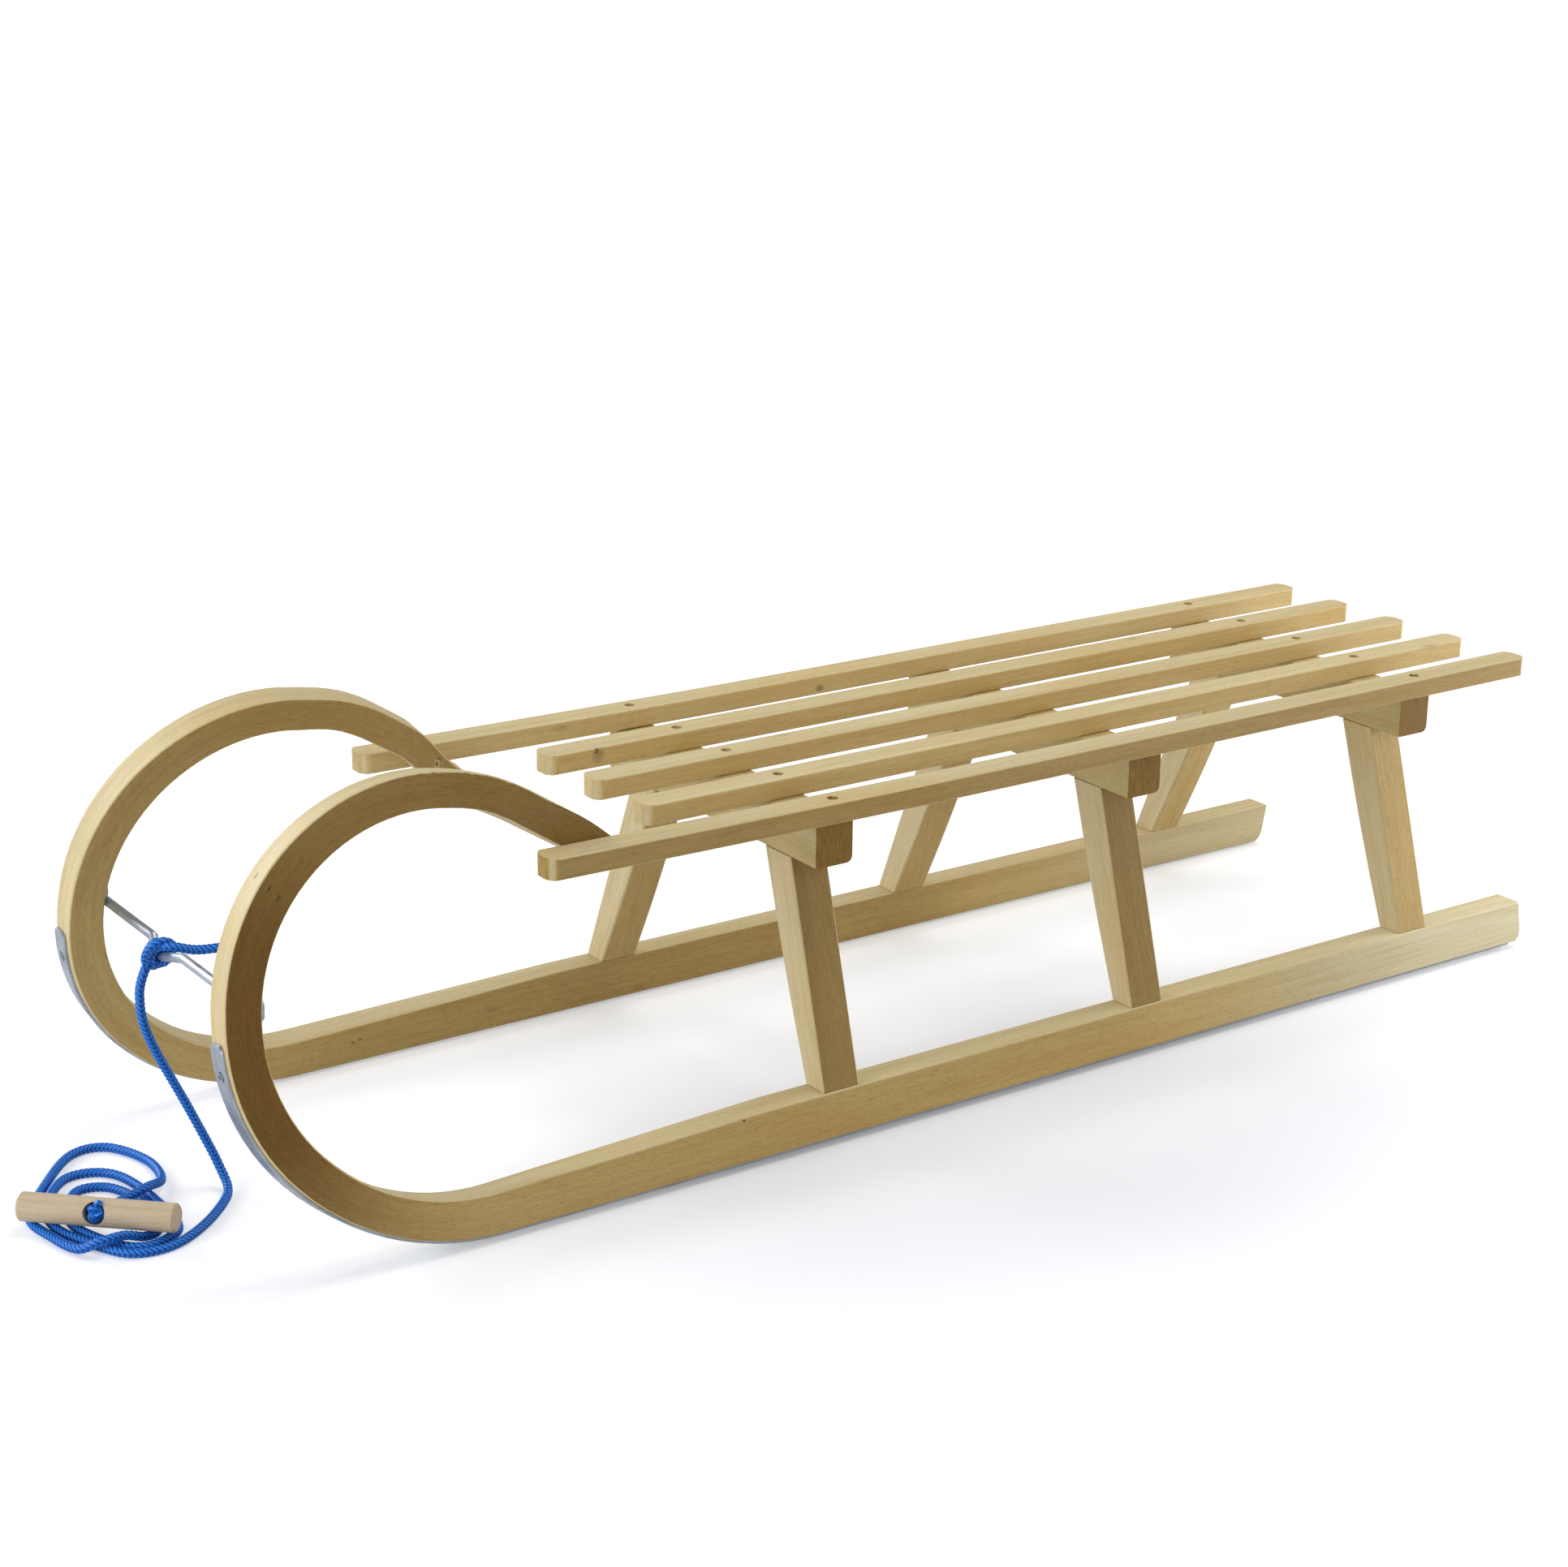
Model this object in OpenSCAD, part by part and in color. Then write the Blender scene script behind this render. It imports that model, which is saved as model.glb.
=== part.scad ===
// Horned beech sled: two bent runners with steel shoes, three bearers on six splayed legs,
// five seat slats, a steel pull bar between the horns and a tow rope with a dowel handle.
// Millimetres. +X forward, +Y the sled's left, +Z up; the origin is on the ground under the middle.

/* [Seat] */
// Length of the two outer slats
outer_slat_l = 911; // [880:1:915]
// Length of the three inner slats
inner_slat_l = 797; // [780:1:805]
// Width of a slat
slat_w = 24; // [20:1:26]
// Thickness of a slat
slat_t = 15; // [12:1:16]
// Distance from one slat's middle to the next
slat_pitch = 66; // [64:1:67]
// Height of the seat above the ground
seat_h = 243; // [241:1:245]

/* [Frame] */
// Width of a bearer and of its legs, front to back
bearer_w = 31; // [28:1:32]
// Height of a bearer
bearer_h = 33; // [30:1:34]
// Length of a bearer, side to side
bearer_l = 270; // [266:1:274]
// Distance from one bearer to the next
bearer_gap = 282; // [270:1:284]
// How far forward a leg's foot stands of its top
leg_rake = 8; // [4:1:10]
// How far the inner edge of a leg swells out between top and foot
leg_belly = 2; // [0:0.5:3]

/* [Runners] */
// Width of a runner
runner_w = 23; // [21:1:24]
// Height of the level top of a runner above the ground
runner_h = 38; // [36:1:40]
// Thickness of a horn where it starts, shoe included
horn_t = 28; // [25:1:29]
// Thickness of a horn at its tip
horn_tip_t = 22; // [19:1:24]
// Lean of each runner and horn towards the middle, in degrees
runner_lean = 10; // [8:0.5:11]
// Thickness of the steel shoe
shoe_t = 2; // [1.5:0.5:3]
// How far round the front of the curl the shoe reaches, in degrees
shoe_wrap = 91; // [86:1:94]

/* [Pull bar and rope] */
// Diameter of the pull bar's rod
rod_d = 6.5; // [6:0.5:8]
// Height of the pull bar
rod_z = 176; // [172:1:180]
// Diameter of the tow rope
rope_d = 6; // [5:0.5:6]
// Length of the dowel handle
handle_l = 107; // [100:1:115]
// Diameter of the dowel handle
handle_d = 19.5; // [18:0.5:20]

/* [Hidden] */
$fn = 32;

beech = [0.84, 0.76, 0.59];
beech_side = [0.72, 0.61, 0.42];
steel = [0.55, 0.58, 0.63];
rope_blue = [0.08, 0.35, 0.82];

// places along the sled
rear_x = -569;
front_bearer_x = 112;
bearer_x = [front_bearer_x, front_bearer_x - bearer_gap, front_bearer_x - 2 * bearer_gap];
bearer_top = seat_h - slat_t;
bearer_low = bearer_top - bearer_h;

// a runner's sole, seen from the side: straight, then four arcs [radius, angle], then a straight tail
runner_y = 155.3;
runner_rear_x = -566;
heel_r = 10;
taper_x = 174;
taper_past = 100;
curl_x = 393;
arc = [[184.5, 49.7], [152.5, 54], [146, 79], [114.5, 30.8]];
tail_l = 112;
tail_slant = 0.45;
thin_from = 430;
turn_step = 4;

// The sole's path: heading at the start of arc i, and the middle that arc i turns round.
function heading(i) = i == 0 ? 0 : heading(i - 1) + arc[i - 1][1];
function mid_x(i) = i == 0 ? curl_x : mid_x(i - 1) + (arc[i - 1][0] - arc[i][0]) * sin(heading(i));
function mid_z(i) = i == 0 ? arc[0][0] : mid_z(i - 1) - (arc[i - 1][0] - arc[i][0]) * cos(heading(i));
function arc_len(i) = arc[i][0] * arc[i][1] * PI / 180;
function arc_start(i) = i == 0 ? curl_x - taper_x : arc_start(i - 1) + arc_len(i - 1);
end_heading = heading(3) + arc[3][1];

// A station is [x, height, heading, length since the taper's start]. The curl's stations:
curl_stations = [for (i = [0 : 3], k = [(i == 0 ? 0 : 1) : ceil(arc[i][1] / turn_step)])
    let (a = arc[i][1] * k / ceil(arc[i][1] / turn_step), h = heading(i) + a)
    [mid_x(i) + arc[i][0] * sin(h), mid_z(i) - arc[i][0] * cos(h), h,
        arc_start(i) + arc[i][0] * a * PI / 180]];
last = curl_stations[len(curl_stations) - 1];
tail_station = [last[0] + tail_l * cos(end_heading), last[1] + tail_l * sin(end_heading),
    end_heading, last[3] + tail_l];
heel_stations = [for (a = [90 : -30 : 0]) [runner_rear_x + heel_r * (1 - sin(a)), 0, 0, 0]];
taper_stations = [for (k = [0 : 4]) let (l = (curl_x - taper_x) * k / 5) [taper_x + l, 0, 0, l]];
runner_stations = concat(heel_stations, taper_stations, curl_stations, [tail_station]);

// How much of the taper is done at a station, from 0 to 1, the horn's thickness, and the top over the sole.
function tapered(s) = min(1, s[3] / (curl_x - taper_x + taper_past));
function horn_at(s) = lookup(s[3], [[thin_from, horn_t], [tail_station[3], horn_tip_t]]);
straight_h = (runner_h - runner_w / 2 * sin(runner_lean)) / cos(runner_lean);
function top_at(s, u) = let (f = tapered(s))
    (1 - f) * (straight_h - u * tan(runner_lean)) + f * horn_at(s);
// The wood starts above the shoe, runs out to the shoe's own line past the shoe's tip, and has a round heel.
function heel(x) = let (d = max(0, runner_rear_x + heel_r - x)) heel_r - sqrt(heel_r * heel_r - d * d);
function wood_low(s) = max(heel(s[0]), shoe_t * (1 - max(0, min(1, (s[2] - shoe_wrap - 5) / 40))));

// The point at u across and n in from the sole of a station, pushed on along the path by slip.
function on_station(s, u, n, slip = 0) =
    [s[0] - n * sin(s[2]) + slip * cos(s[2]), u, s[1] + n * cos(s[2]) + slip * sin(s[2])];

// One closed skin round a list of rings that have the same number of points.
module skin(rings) {
    n = len(rings[0]);
    count = len(rings);
    polyhedron(
        points = [for (r = rings, p = r) p],
        faces = concat(
            [[for (j = [0 : n - 1]) j]],
            [for (i = [0 : count - 2], j = [0 : n - 1])
                [i * n + j, (i + 1) * n + j, (i + 1) * n + (j + 1) % n, i * n + (j + 1) % n]],
            [[for (j = [n - 1 : -1 : 0]) (count - 1) * n + j]]),
        convexity = 8);
}

// Points round a rectangle from (x0, y0) to (x1, y1) whose corners are eased by r.
function eased(x0, x1, y0, y1, r) = [for (c = [[x1 - r, y1 - r, 0], [x0 + r, y1 - r, 90],
        [x0 + r, y0 + r, 180], [x1 - r, y0 + r, 270]], a = [0, 45, 90])
    [c[0] + r * cos(c[2] + a), c[1] + r * sin(c[2] + a)]];

// Moves a thing from a runner's own upright plane to its leaning place, on side 1 (left) or -1.
module on_runner(side) {
    mirror([0, side == 1 ? 0 : 1, 0])
        translate([0, runner_y, runner_w / 2 * sin(runner_lean)]) rotate([runner_lean, 0, 0]) children();
}

/* Legs. t runs from 0 at the bearer to 1 at the runner. */
leg_top = [72.6, 103.7];
leg_foot = [137.5, 159.5];
leg_ease = 1.5;
leg_rings = 8;
leg_w = bearer_w;
tenon = [[10, 22, 22], [18, 9, 20]];
function leg_out(t) = leg_top[1] + (leg_foot[1] - leg_top[1]) * t;
function leg_in(t) = leg_top[0] + (leg_foot[0] - leg_top[0]) * t - leg_belly * sin(180 * t);
leg_top_mid = (leg_top[0] + leg_top[1]) / 2;
leg_foot_mid = (leg_foot[0] + leg_foot[1]) / 2;

module bearer_tenon(x, side) {
    translate([x - tenon[0][0] / 2, side * leg_top_mid - tenon[0][1] / 2, bearer_low - 1])
        cube(tenon[0] + [0, 0, 1]);
}

module runner_tenon(x, side) {
    translate([x + leg_rake - tenon[1][0] / 2, side * leg_foot_mid - tenon[1][1] / 2, runner_h - tenon[1][2]])
        cube(tenon[1] + [0, 0, 1]);
}

module leg(x, side) {
    color(beech) {
        mirror([0, side == 1 ? 0 : 1, 0])
            skin([for (i = [0 : leg_rings]) let (t = 1 - i / leg_rings)
                [for (p = eased(x + leg_rake * t - leg_w / 2, x + leg_rake * t + leg_w / 2,
                        leg_in(t), leg_out(t), leg_ease))
                    [p[0], p[1], bearer_low + (runner_h - bearer_low) * t]]]);
        bearer_tenon(x, side);
        runner_tenon(x, side);
    }
}

/* Bearers */
bearer_round = 5;
bearer_ease = 1.5;

// A bearer's section: square to the seat, eased, with the lower rear corner well rounded.
module bearer_section() {
    difference() {
        square([bearer_w, bearer_h]);
        for (c = [[0, 0, bearer_round], [1, 0, bearer_ease], [0, 1, bearer_ease], [1, 1, bearer_ease]])
            translate([c[0] * bearer_w, c[1] * bearer_h]) difference() {
                square(2 * c[2], center = true);
                translate([(1 - 2 * c[0]) * c[2], (1 - 2 * c[1]) * c[2]]) circle(c[2]);
            }
    }
}

module bearer(i) {
    color(beech_side) difference() {
        translate([bearer_x[i] - bearer_w / 2, bearer_l / 2, bearer_low]) rotate([90, 0, 0])
            linear_extrude(bearer_l) bearer_section();
        for (side = [-1, 1]) bearer_tenon(bearer_x[i], side);
        if (i != 1) for (k = [1 : 5]) slat_screw(i, k);
        for (side = [-1, 1]) bearer_nail(bearer_x[i], side);
    }
}

/* Nails that pin each tenon in its mortise, driven from the front and from the outside */
nail_d = 3;
nail_l = 22;
module bearer_nail(x, side) {
    translate([x + bearer_w / 2 - nail_l, side * leg_top_mid, bearer_low + 13]) rotate([0, 90, 0])
        cylinder(h = nail_l, d = nail_d);
}

module runner_nail(x, side) {
    translate([x + leg_rake, side * (leg_foot_mid - 6), runner_h - 12]) rotate([-side * 90, 0, 0])
        cylinder(h = nail_l - 4, d = nail_d);
}

module tenon_nails() {
    color(steel) for (x = bearer_x, side = [-1, 1]) {
        bearer_nail(x, side);
        runner_nail(x, side);
    }
}

/* Seat slats. Slat 1 is the right outer one, slat 5 the left outer one. */
slat_round = 9;
slat_ease = 1.5;
screw_head_d = 7.4;
screw_head_h = 3;
screw_shank_d = 4;
screw_l = 30;
counterbore_d = 8;
counterbore_deep = 6;
function slat_y(k) = (k - 3) * slat_pitch;
function slat_l(k) = k == 1 || k == 5 ? outer_slat_l : inner_slat_l;

// A rectangle on the origin's corner with four round corners.
module round_rect(l, w, r) {
    translate([r, 0]) square([l - 2 * r, w]);
    translate([0, r]) square([l, w - 2 * r]);
    for (x = [r, l - r], y = [r, w - r]) translate([x, y]) circle(r);
}

module slat(k) {
    color(beech) difference() {
        translate([rear_x, slat_y(k) - slat_w / 2, bearer_top]) intersection() {
            linear_extrude(slat_t) round_rect(slat_l(k), slat_w, slat_round);
            rotate([90, 0, 90]) linear_extrude(slat_l(k)) round_rect(slat_w, slat_t, slat_ease);
        }
        for (i = [0, 2]) {
            slat_screw(i, k);
            translate([bearer_x[i], slat_y(k), seat_h - counterbore_deep])
                cylinder(h = counterbore_deep + 1, d = counterbore_d);
        }
        if (k == 1 || k == 5) horn_screw(k == 5 ? 1 : -1);
    }
}

// A pan-head screw that stands on the floor of its counterbore and runs down into the bearer.
module slat_screw(i, k) {
    translate([bearer_x[i], slat_y(k), seat_h - counterbore_deep]) {
        cylinder(h = screw_head_h, d = screw_head_d);
        translate([0, 0, -screw_l]) cylinder(h = screw_l, d = screw_shank_d);
    }
}

module slat_screws() {
    color("goldenrod") for (i = [0, 2], k = [1 : 5]) slat_screw(i, k);
}

/* Horn screws: countersunk, from the inner cheek of each horn into the outer slat */
horn_screw_x = 291;
horn_screw_z = 235;
horn_cheek_y = slat_pitch * 2 - slat_w / 2;
horn_screw_y = 104.5;
horn_screw_l = 30;
horn_screw_head = [4, 8];
horn_sink_d = 9;
module at_horn_screw(side) {
    mirror([0, side == 1 ? 0 : 1, 0]) translate([horn_screw_x, horn_screw_y, horn_screw_z])
        rotate([-90, 0, 0]) children();
}

module horn_screw(side) {
    at_horn_screw(side) {
        cylinder(h = horn_screw_head[0], d1 = horn_screw_head[1], d2 = screw_shank_d);
        cylinder(h = horn_screw_l, d = screw_shank_d);
    }
}

/* Shoe screws: countersunk, up through the shoe into the runner, at [place, heading] on the sole */
shoe_screw_x = [-540, -40, 330];
shoe_screw_turn = 83;
shoe_screw_l = 16;
shoe_screw_d = 4;
shoe_screw_head = [2.5, 8];
function arc_station(i, h) = [mid_x(i) + arc[i][0] * sin(h), mid_z(i) - arc[i][0] * cos(h), h,
    arc_start(i) + arc[i][0] * (h - heading(i)) * PI / 180];
shoe_screw_stations = concat([for (x = shoe_screw_x) [x, 0, 0, 0]], [arc_station(1, shoe_screw_turn)]);

// Stands children on a runner's sole, or deeper in, with +Z square to it and +X along it.
module at_station(s, n = 0) {
    translate(on_station(s, 0, n)) rotate([0, -s[2], 0]) children();
}

module shoe_screw_set(side) {
    on_runner(side) for (s = shoe_screw_stations) at_station(s) {
        cylinder(h = shoe_screw_head[0], d1 = shoe_screw_head[1], d2 = shoe_screw_d);
        cylinder(h = shoe_screw_l, d = shoe_screw_d);
    }
}

/* Runners */
runner_ease = 1.6;
cheek_x = [240, 360];
cheek_z = [200, 300];

// One ring of the wood: an eased rectangle whose top is level on the straight and square on the horn.
function wood_ring(s, slant) = [
    for (p = eased(-runner_w / 2, runner_w / 2, wood_low(s), top_at(s, 0), runner_ease))
    let (n = p[1] > top_at(s, 0) / 2 ? p[1] + top_at(s, p[0]) - top_at(s, 0) : p[1])
    on_station(s, p[0], n, slant * n)];

module runner(side) {
    color(beech_side) difference() {
        on_runner(side) skin([for (s = runner_stations) wood_ring(s, s == tail_station ? tail_slant : 0)]);
        for (x = bearer_x) {
            runner_tenon(x, side);
            runner_nail(x, side);
        }
        // the horn's outer cheek is planed to lie along the outer slat
        translate([cheek_x[0], side == 1 ? horn_cheek_y : -horn_cheek_y - 30, cheek_z[0]])
            cube([cheek_x[1] - cheek_x[0], 30, cheek_z[1] - cheek_z[0]]);
        horn_screw(side);
        at_horn_screw(side) mirror([0, 0, 1]) cylinder(h = runner_w / 2, d = horn_sink_d);
        shoe_screw_set(side);
        pull_bar_screw(side);
    }
}

/* Shoes */
shoe_w = runner_w - 1;
shoe_tip_r = 6;
shoe_edge = 0.6;
tip_turn = shoe_tip_r / arc[1][0] * 180 / PI;
function shoe_half(h) = let (d = (shoe_wrap - h) * PI / 180 * arc[1][0])
    d >= shoe_tip_r ? shoe_w / 2 : shoe_w / 2 - shoe_tip_r + sqrt(pow(shoe_tip_r, 2) - pow(shoe_tip_r - d, 2));
shoe_stations = concat([[runner_rear_x + heel_r, 0, 0, 0], [curl_x, 0, 0, 0]],
    [for (s = curl_stations) if (s[2] > 0 && s[2] < shoe_wrap - tip_turn - 1) s],
    [for (f = [1, 0.6, 0.3, 0.1, 0]) arc_station(1, shoe_wrap - f * tip_turn)]);

module runner_shoe(side) {
    color(steel) difference() {
        on_runner(side) skin([for (s = shoe_stations) let (w = shoe_half(s[2]))
            [for (p = [[w, shoe_t], [-w, shoe_t], [-w, shoe_edge], [-w + shoe_edge, 0], [w - shoe_edge, 0],
                    [w, shoe_edge]])
                on_station(s, p[0], p[1])]]);
        shoe_screw_set(side);
    }
}

/* Pull bar: a rod with a dip for the rope a little to the right of the middle, and a flattened end
   screwed to the hollow side of each horn */
rod_x = 538;
rod_end_y = 122;
rod_route = [[0, -rod_end_y, 0], [0, -42, 0], [2, -33, -7.5], [2, -22, -7.5], [0, 7, 0], [0, rod_end_y, 0]];
tab_turn = 99;
tab_t = 2.5;
tab_w = 15;
tab_up = 8;
tab_gap = 0.5;
tab_neck_w = 10;
bar_screw_head = [3, 8, 5];
bar_screw_l = 14;
bar_screw_d = 4;
tab_station = arc_station(1, tab_turn);

module tab_plate() {
    translate([0, 0, tab_gap]) linear_extrude(tab_t) {
        circle(d = tab_w);
        translate([-tab_up, -tab_neck_w / 2]) square([tab_up, tab_neck_w]);
    }
}

module pull_bar_screw(side) {
    on_runner(side) at_station(tab_station, horn_at(tab_station)) {
        translate([0, 0, tab_gap + tab_t])
            cylinder(h = bar_screw_head[0], d1 = bar_screw_head[1], d2 = bar_screw_head[2]);
        translate([0, 0, -bar_screw_l]) cylinder(h = bar_screw_l + tab_gap + tab_t, d = bar_screw_d);
    }
}

// A round bar from point a to point b, with a ball at b that rounds the bend and swells it a hair.
bend_swell = 0.1;
module bar_between(a, b, d) {
    way = b - a;
    translate(a) rotate([0, acos(way[2] / norm(way)), atan2(way[1], way[0])]) cylinder(h = norm(way), d = d);
    translate(b) sphere(d = d + bend_swell);
}

module pull_bar() {
    route = [for (p = rod_route) p + [rod_x, 0, rod_z]];
    color(steel) difference() {
        union() {
            translate(route[0]) sphere(d = rod_d);
            for (i = [1 : len(route) - 1]) bar_between(route[i - 1], route[i], rod_d);
            for (side = [-1, 1]) on_runner(side) at_station(tab_station, horn_at(tab_station)) tab_plate();
        }
        for (side = [-1, 1]) pull_bar_screw(side);
    }
}

/* Rope */
// The tow rope's route, from the hitch on the pull bar to the handle: down to the ground, round in
// three flat loops under the handle and up into its hole
tow_route = [[546.5, -27, 162.5], [552, -25, 160], [557, -24, 143], [554, -20, 115], [530, -16, 58],
    [514, -10, 16], [517, 9, 3], [546, 40, 3], [577, 58, 3], [604, 54, 3], [620, 28, 3], [631, -6, 3], [625, -40, 3],
    [599, -72, 3], [573, -67, 3], [562, -36, 3], [562, 30, 3], [579, 48, 3], [598, 48, 3],
    [612, 27, 3], [620, -10, 3], [602, -48, 3], [580, -45, 3], [569, -15, 3], [568, 14, 3],
    [577, 33, 3], [589, 40, 5], [603, 41, 10], [619, 41, 10], [631, 31, 4], [638, 4, 3], [640, -30, 3],
    [614, -70, 3], [582, -105, 3], [556, -104, 3], [541, -69, 3], [546, -33, 5], [564, -15, 11],
    [583, -10, 9], [600, 4, 13], [608, 12, 16]];
tow_rings = 72;
// The short end that sticks out of the hitch towards the seat
tail_route = [[547, -25, 173], [542, -21, 176], [536, -14, 177], [523, -8, 174], [510, -1, 175],
    [494, 3, 176]];
tail_rings = 9;
rope_sides = 10;

// A point at t along a route, on one smooth curve through all its points.
function on_route(r, t) = let (i = min(floor(t), len(r) - 2), f = t - i,
    b = r[i], c = r[i + 1], a = i == 0 ? 2 * b - c : r[i - 1],
    d = i == len(r) - 2 ? 2 * c - b : r[i + 2],
    p = 0.5 * (2 * b + (c - a) * f + (2 * a - 5 * b + 4 * c - d) * f * f + (3 * b - a - 3 * c + d) * f * f * f))
    [p[0], p[1], max(p[2], rope_d / 2)];
function unit(v) = v / norm(v);

// A round tube of diameter d along a route, with the given sides and rings.
module tube(route, d, sides, rings) {
    line = [for (k = [0 : rings - 1]) on_route(route, k * (len(route) - 1) / (rings - 1))];
    way = [for (k = [0 : rings - 1]) unit(line[min(k + 1, rings - 1)] - line[max(k - 1, 0)])];
    across = [for (k = 0, n = unit(cross(way[0], [0.3, 0.9, 0.1])); k < rings;
        k = k + 1, n = k < rings ? unit(n - (n * way[k]) * way[k]) : n) n];
    skin([for (k = [0 : rings - 1]) [for (j = [0 : sides - 1]) let (a = 360 * j / sides)
        line[k] + d / 2 * (across[k] * cos(a) + cross(way[k], across[k]) * sin(a))]]);
}

hitch_x = rod_x + rod_route[2][0];
hitch_y = (rod_route[2][1] + rod_route[3][1]) / 2;
hitch_z = rod_z + rod_route[2][2];
hitch_turns = [-3, 2.7];
hitch_cross = [5, 3, 5];
module rope_hitch() {
    color(rope_blue) {
        for (turn = hitch_turns)
            translate([hitch_x, hitch_y + turn, hitch_z]) rotate([90, 0, 0])
                rotate_extrude() translate([(rod_d + rope_d) / 2 + 0.1, 0]) circle(d = rope_d);
        translate([hitch_x, hitch_y, hitch_z] + hitch_cross) rotate([60, 0, 40])
            rotate_extrude() translate([rope_d * 0.8, 0]) circle(d = rope_d);
    }
}

/* Handle: a beech dowel that lies on the rope's loops, with a hole that the rope is knotted in */
handle_mid = [608.7, 13, 16.5];
handle_turn = 137;
hole_tilt = 20;
hole_d = 7;
pocket_d = 15;
pocket_deep = 10;
chamfer = 1.5;
knot_d = 11.6;

module on_handle() {
    translate(handle_mid) rotate([0, 0, handle_turn]) children();
}

// Stands children in the middle of the dowel with +Z out of the knot's pocket.
module in_hole() {
    on_handle() rotate([90 - hole_tilt, 0, 0]) children();
}

module tow_handle() {
    color(beech) difference() {
        on_handle() rotate([0, 90, 0]) {
            cylinder(h = handle_l - 2 * chamfer, d = handle_d, center = true);
            for (m = [0, 1]) mirror([0, 0, m]) translate([0, 0, handle_l / 2 - chamfer])
                cylinder(h = chamfer, d1 = handle_d, d2 = handle_d - 2 * chamfer);
        }
        in_hole() {
            cylinder(h = handle_d + 4, d = hole_d, center = true);
            translate([0, 0, handle_d / 2 - pocket_deep]) cylinder(h = handle_d, d = pocket_d);
        }
    }
}

module stopper_knot() {
    color(rope_blue) in_hole() {
        translate([0, 0, handle_d / 2 - pocket_deep + knot_d / 2]) sphere(d = knot_d);
        translate([2, 0, handle_d / 2 - 2]) rotate([0, 25, 0]) cylinder(h = 6, d = rope_d - 1);
    }
}

runner(1);  // runner_left
runner(-1);  // runner_right
runner_shoe(1);  // runner_shoe_left
runner_shoe(-1);  // runner_shoe_right
color(steel) for (side = [-1, 1]) shoe_screw_set(side);  // shoe_screws
leg(bearer_x[0], 1);  // leg_front_left
leg(bearer_x[0], -1);  // leg_front_right
leg(bearer_x[1], 1);  // leg_middle_left
leg(bearer_x[1], -1);  // leg_middle_right
leg(bearer_x[2], 1);  // leg_rear_left
leg(bearer_x[2], -1);  // leg_rear_right
bearer(0);  // bearer_front
bearer(1);  // bearer_middle
bearer(2);  // bearer_rear
tenon_nails();
slat(1);  // slat_1
slat(2);  // slat_2
slat(3);  // slat_3
slat(4);  // slat_4
slat(5);  // slat_5
slat_screws();
color("goldenrod") for (side = [-1, 1]) horn_screw(side);  // horn_screws
pull_bar();
color(steel) for (side = [-1, 1]) pull_bar_screw(side);  // pull_bar_screws
rope_hitch();
color(rope_blue) tube(tail_route, rope_d, rope_sides, tail_rings);  // rope_tail
color(rope_blue) tube(tow_route, rope_d, rope_sides, tow_rings);  // tow_rope
tow_handle();
stopper_knot();
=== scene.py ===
"""Horned beech sled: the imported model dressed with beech, steel and braided rope, on a pale floor."""
import math
import bmesh
import bpy
from mathutils import Matrix, Vector


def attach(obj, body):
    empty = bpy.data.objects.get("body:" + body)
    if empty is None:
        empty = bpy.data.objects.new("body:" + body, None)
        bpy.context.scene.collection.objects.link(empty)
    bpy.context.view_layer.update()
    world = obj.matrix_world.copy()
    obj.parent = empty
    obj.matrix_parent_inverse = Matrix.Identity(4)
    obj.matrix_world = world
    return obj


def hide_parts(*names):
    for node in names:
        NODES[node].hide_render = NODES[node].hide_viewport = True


bl_info = {
    "name": "Horned beech sled",
    "version": (1, 0, 0),
    "blender": (4, 5, 0),
    "location": "3D View > Sidebar > Sled",
    "description": "Builds a horned beech sled with steel shoes, a pull bar and a braided tow rope",
    "category": "Object",
}

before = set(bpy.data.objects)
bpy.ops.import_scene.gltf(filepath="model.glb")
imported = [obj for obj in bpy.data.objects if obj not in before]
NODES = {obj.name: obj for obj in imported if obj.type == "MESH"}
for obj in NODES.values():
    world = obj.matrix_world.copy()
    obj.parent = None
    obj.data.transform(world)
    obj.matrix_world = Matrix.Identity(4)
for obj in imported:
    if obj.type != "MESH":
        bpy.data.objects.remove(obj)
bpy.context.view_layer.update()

MM = 0.001
# The rope's routes, in millimetres: down from the hitch, round in flat loops and into the handle,
# and the short end that sticks out of the hitch.
TOW_ROUTE = [
    (546.5, -27, 162.5), (552, -25, 160), (557, -24, 143), (554, -20, 115), (530, -16, 58),
    (514, -10, 16), (517, 9, 3),
    (546, 40, 3), (577, 58, 3), (604, 54, 3), (620, 28, 3), (631, -6, 3), (625, -40, 3), (599, -72, 3),
    (573, -67, 3), (562, -36, 3), (562, 30, 3), (579, 48, 3), (598, 48, 3), (612, 27, 3), (620, -10, 3),
    (602, -48, 3), (580, -45, 3), (569, -15, 3), (568, 14, 3), (577, 33, 3), (589, 40, 5), (603, 41, 10),
    (619, 41, 10), (631, 31, 4), (638, 4, 3), (640, -30, 3), (614, -70, 3), (582, -105, 3),
    (556, -104, 3), (541, -69, 3), (546, -33, 5), (564, -15, 11), (583, -10, 9), (600, 4, 13), (608, 12, 16)]
TAIL_ROUTE = [(547, -25, 173), (542, -21, 176), (536, -14, 177), (523, -8, 174), (510, -1, 175),
              (494, 3, 176)]
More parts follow.
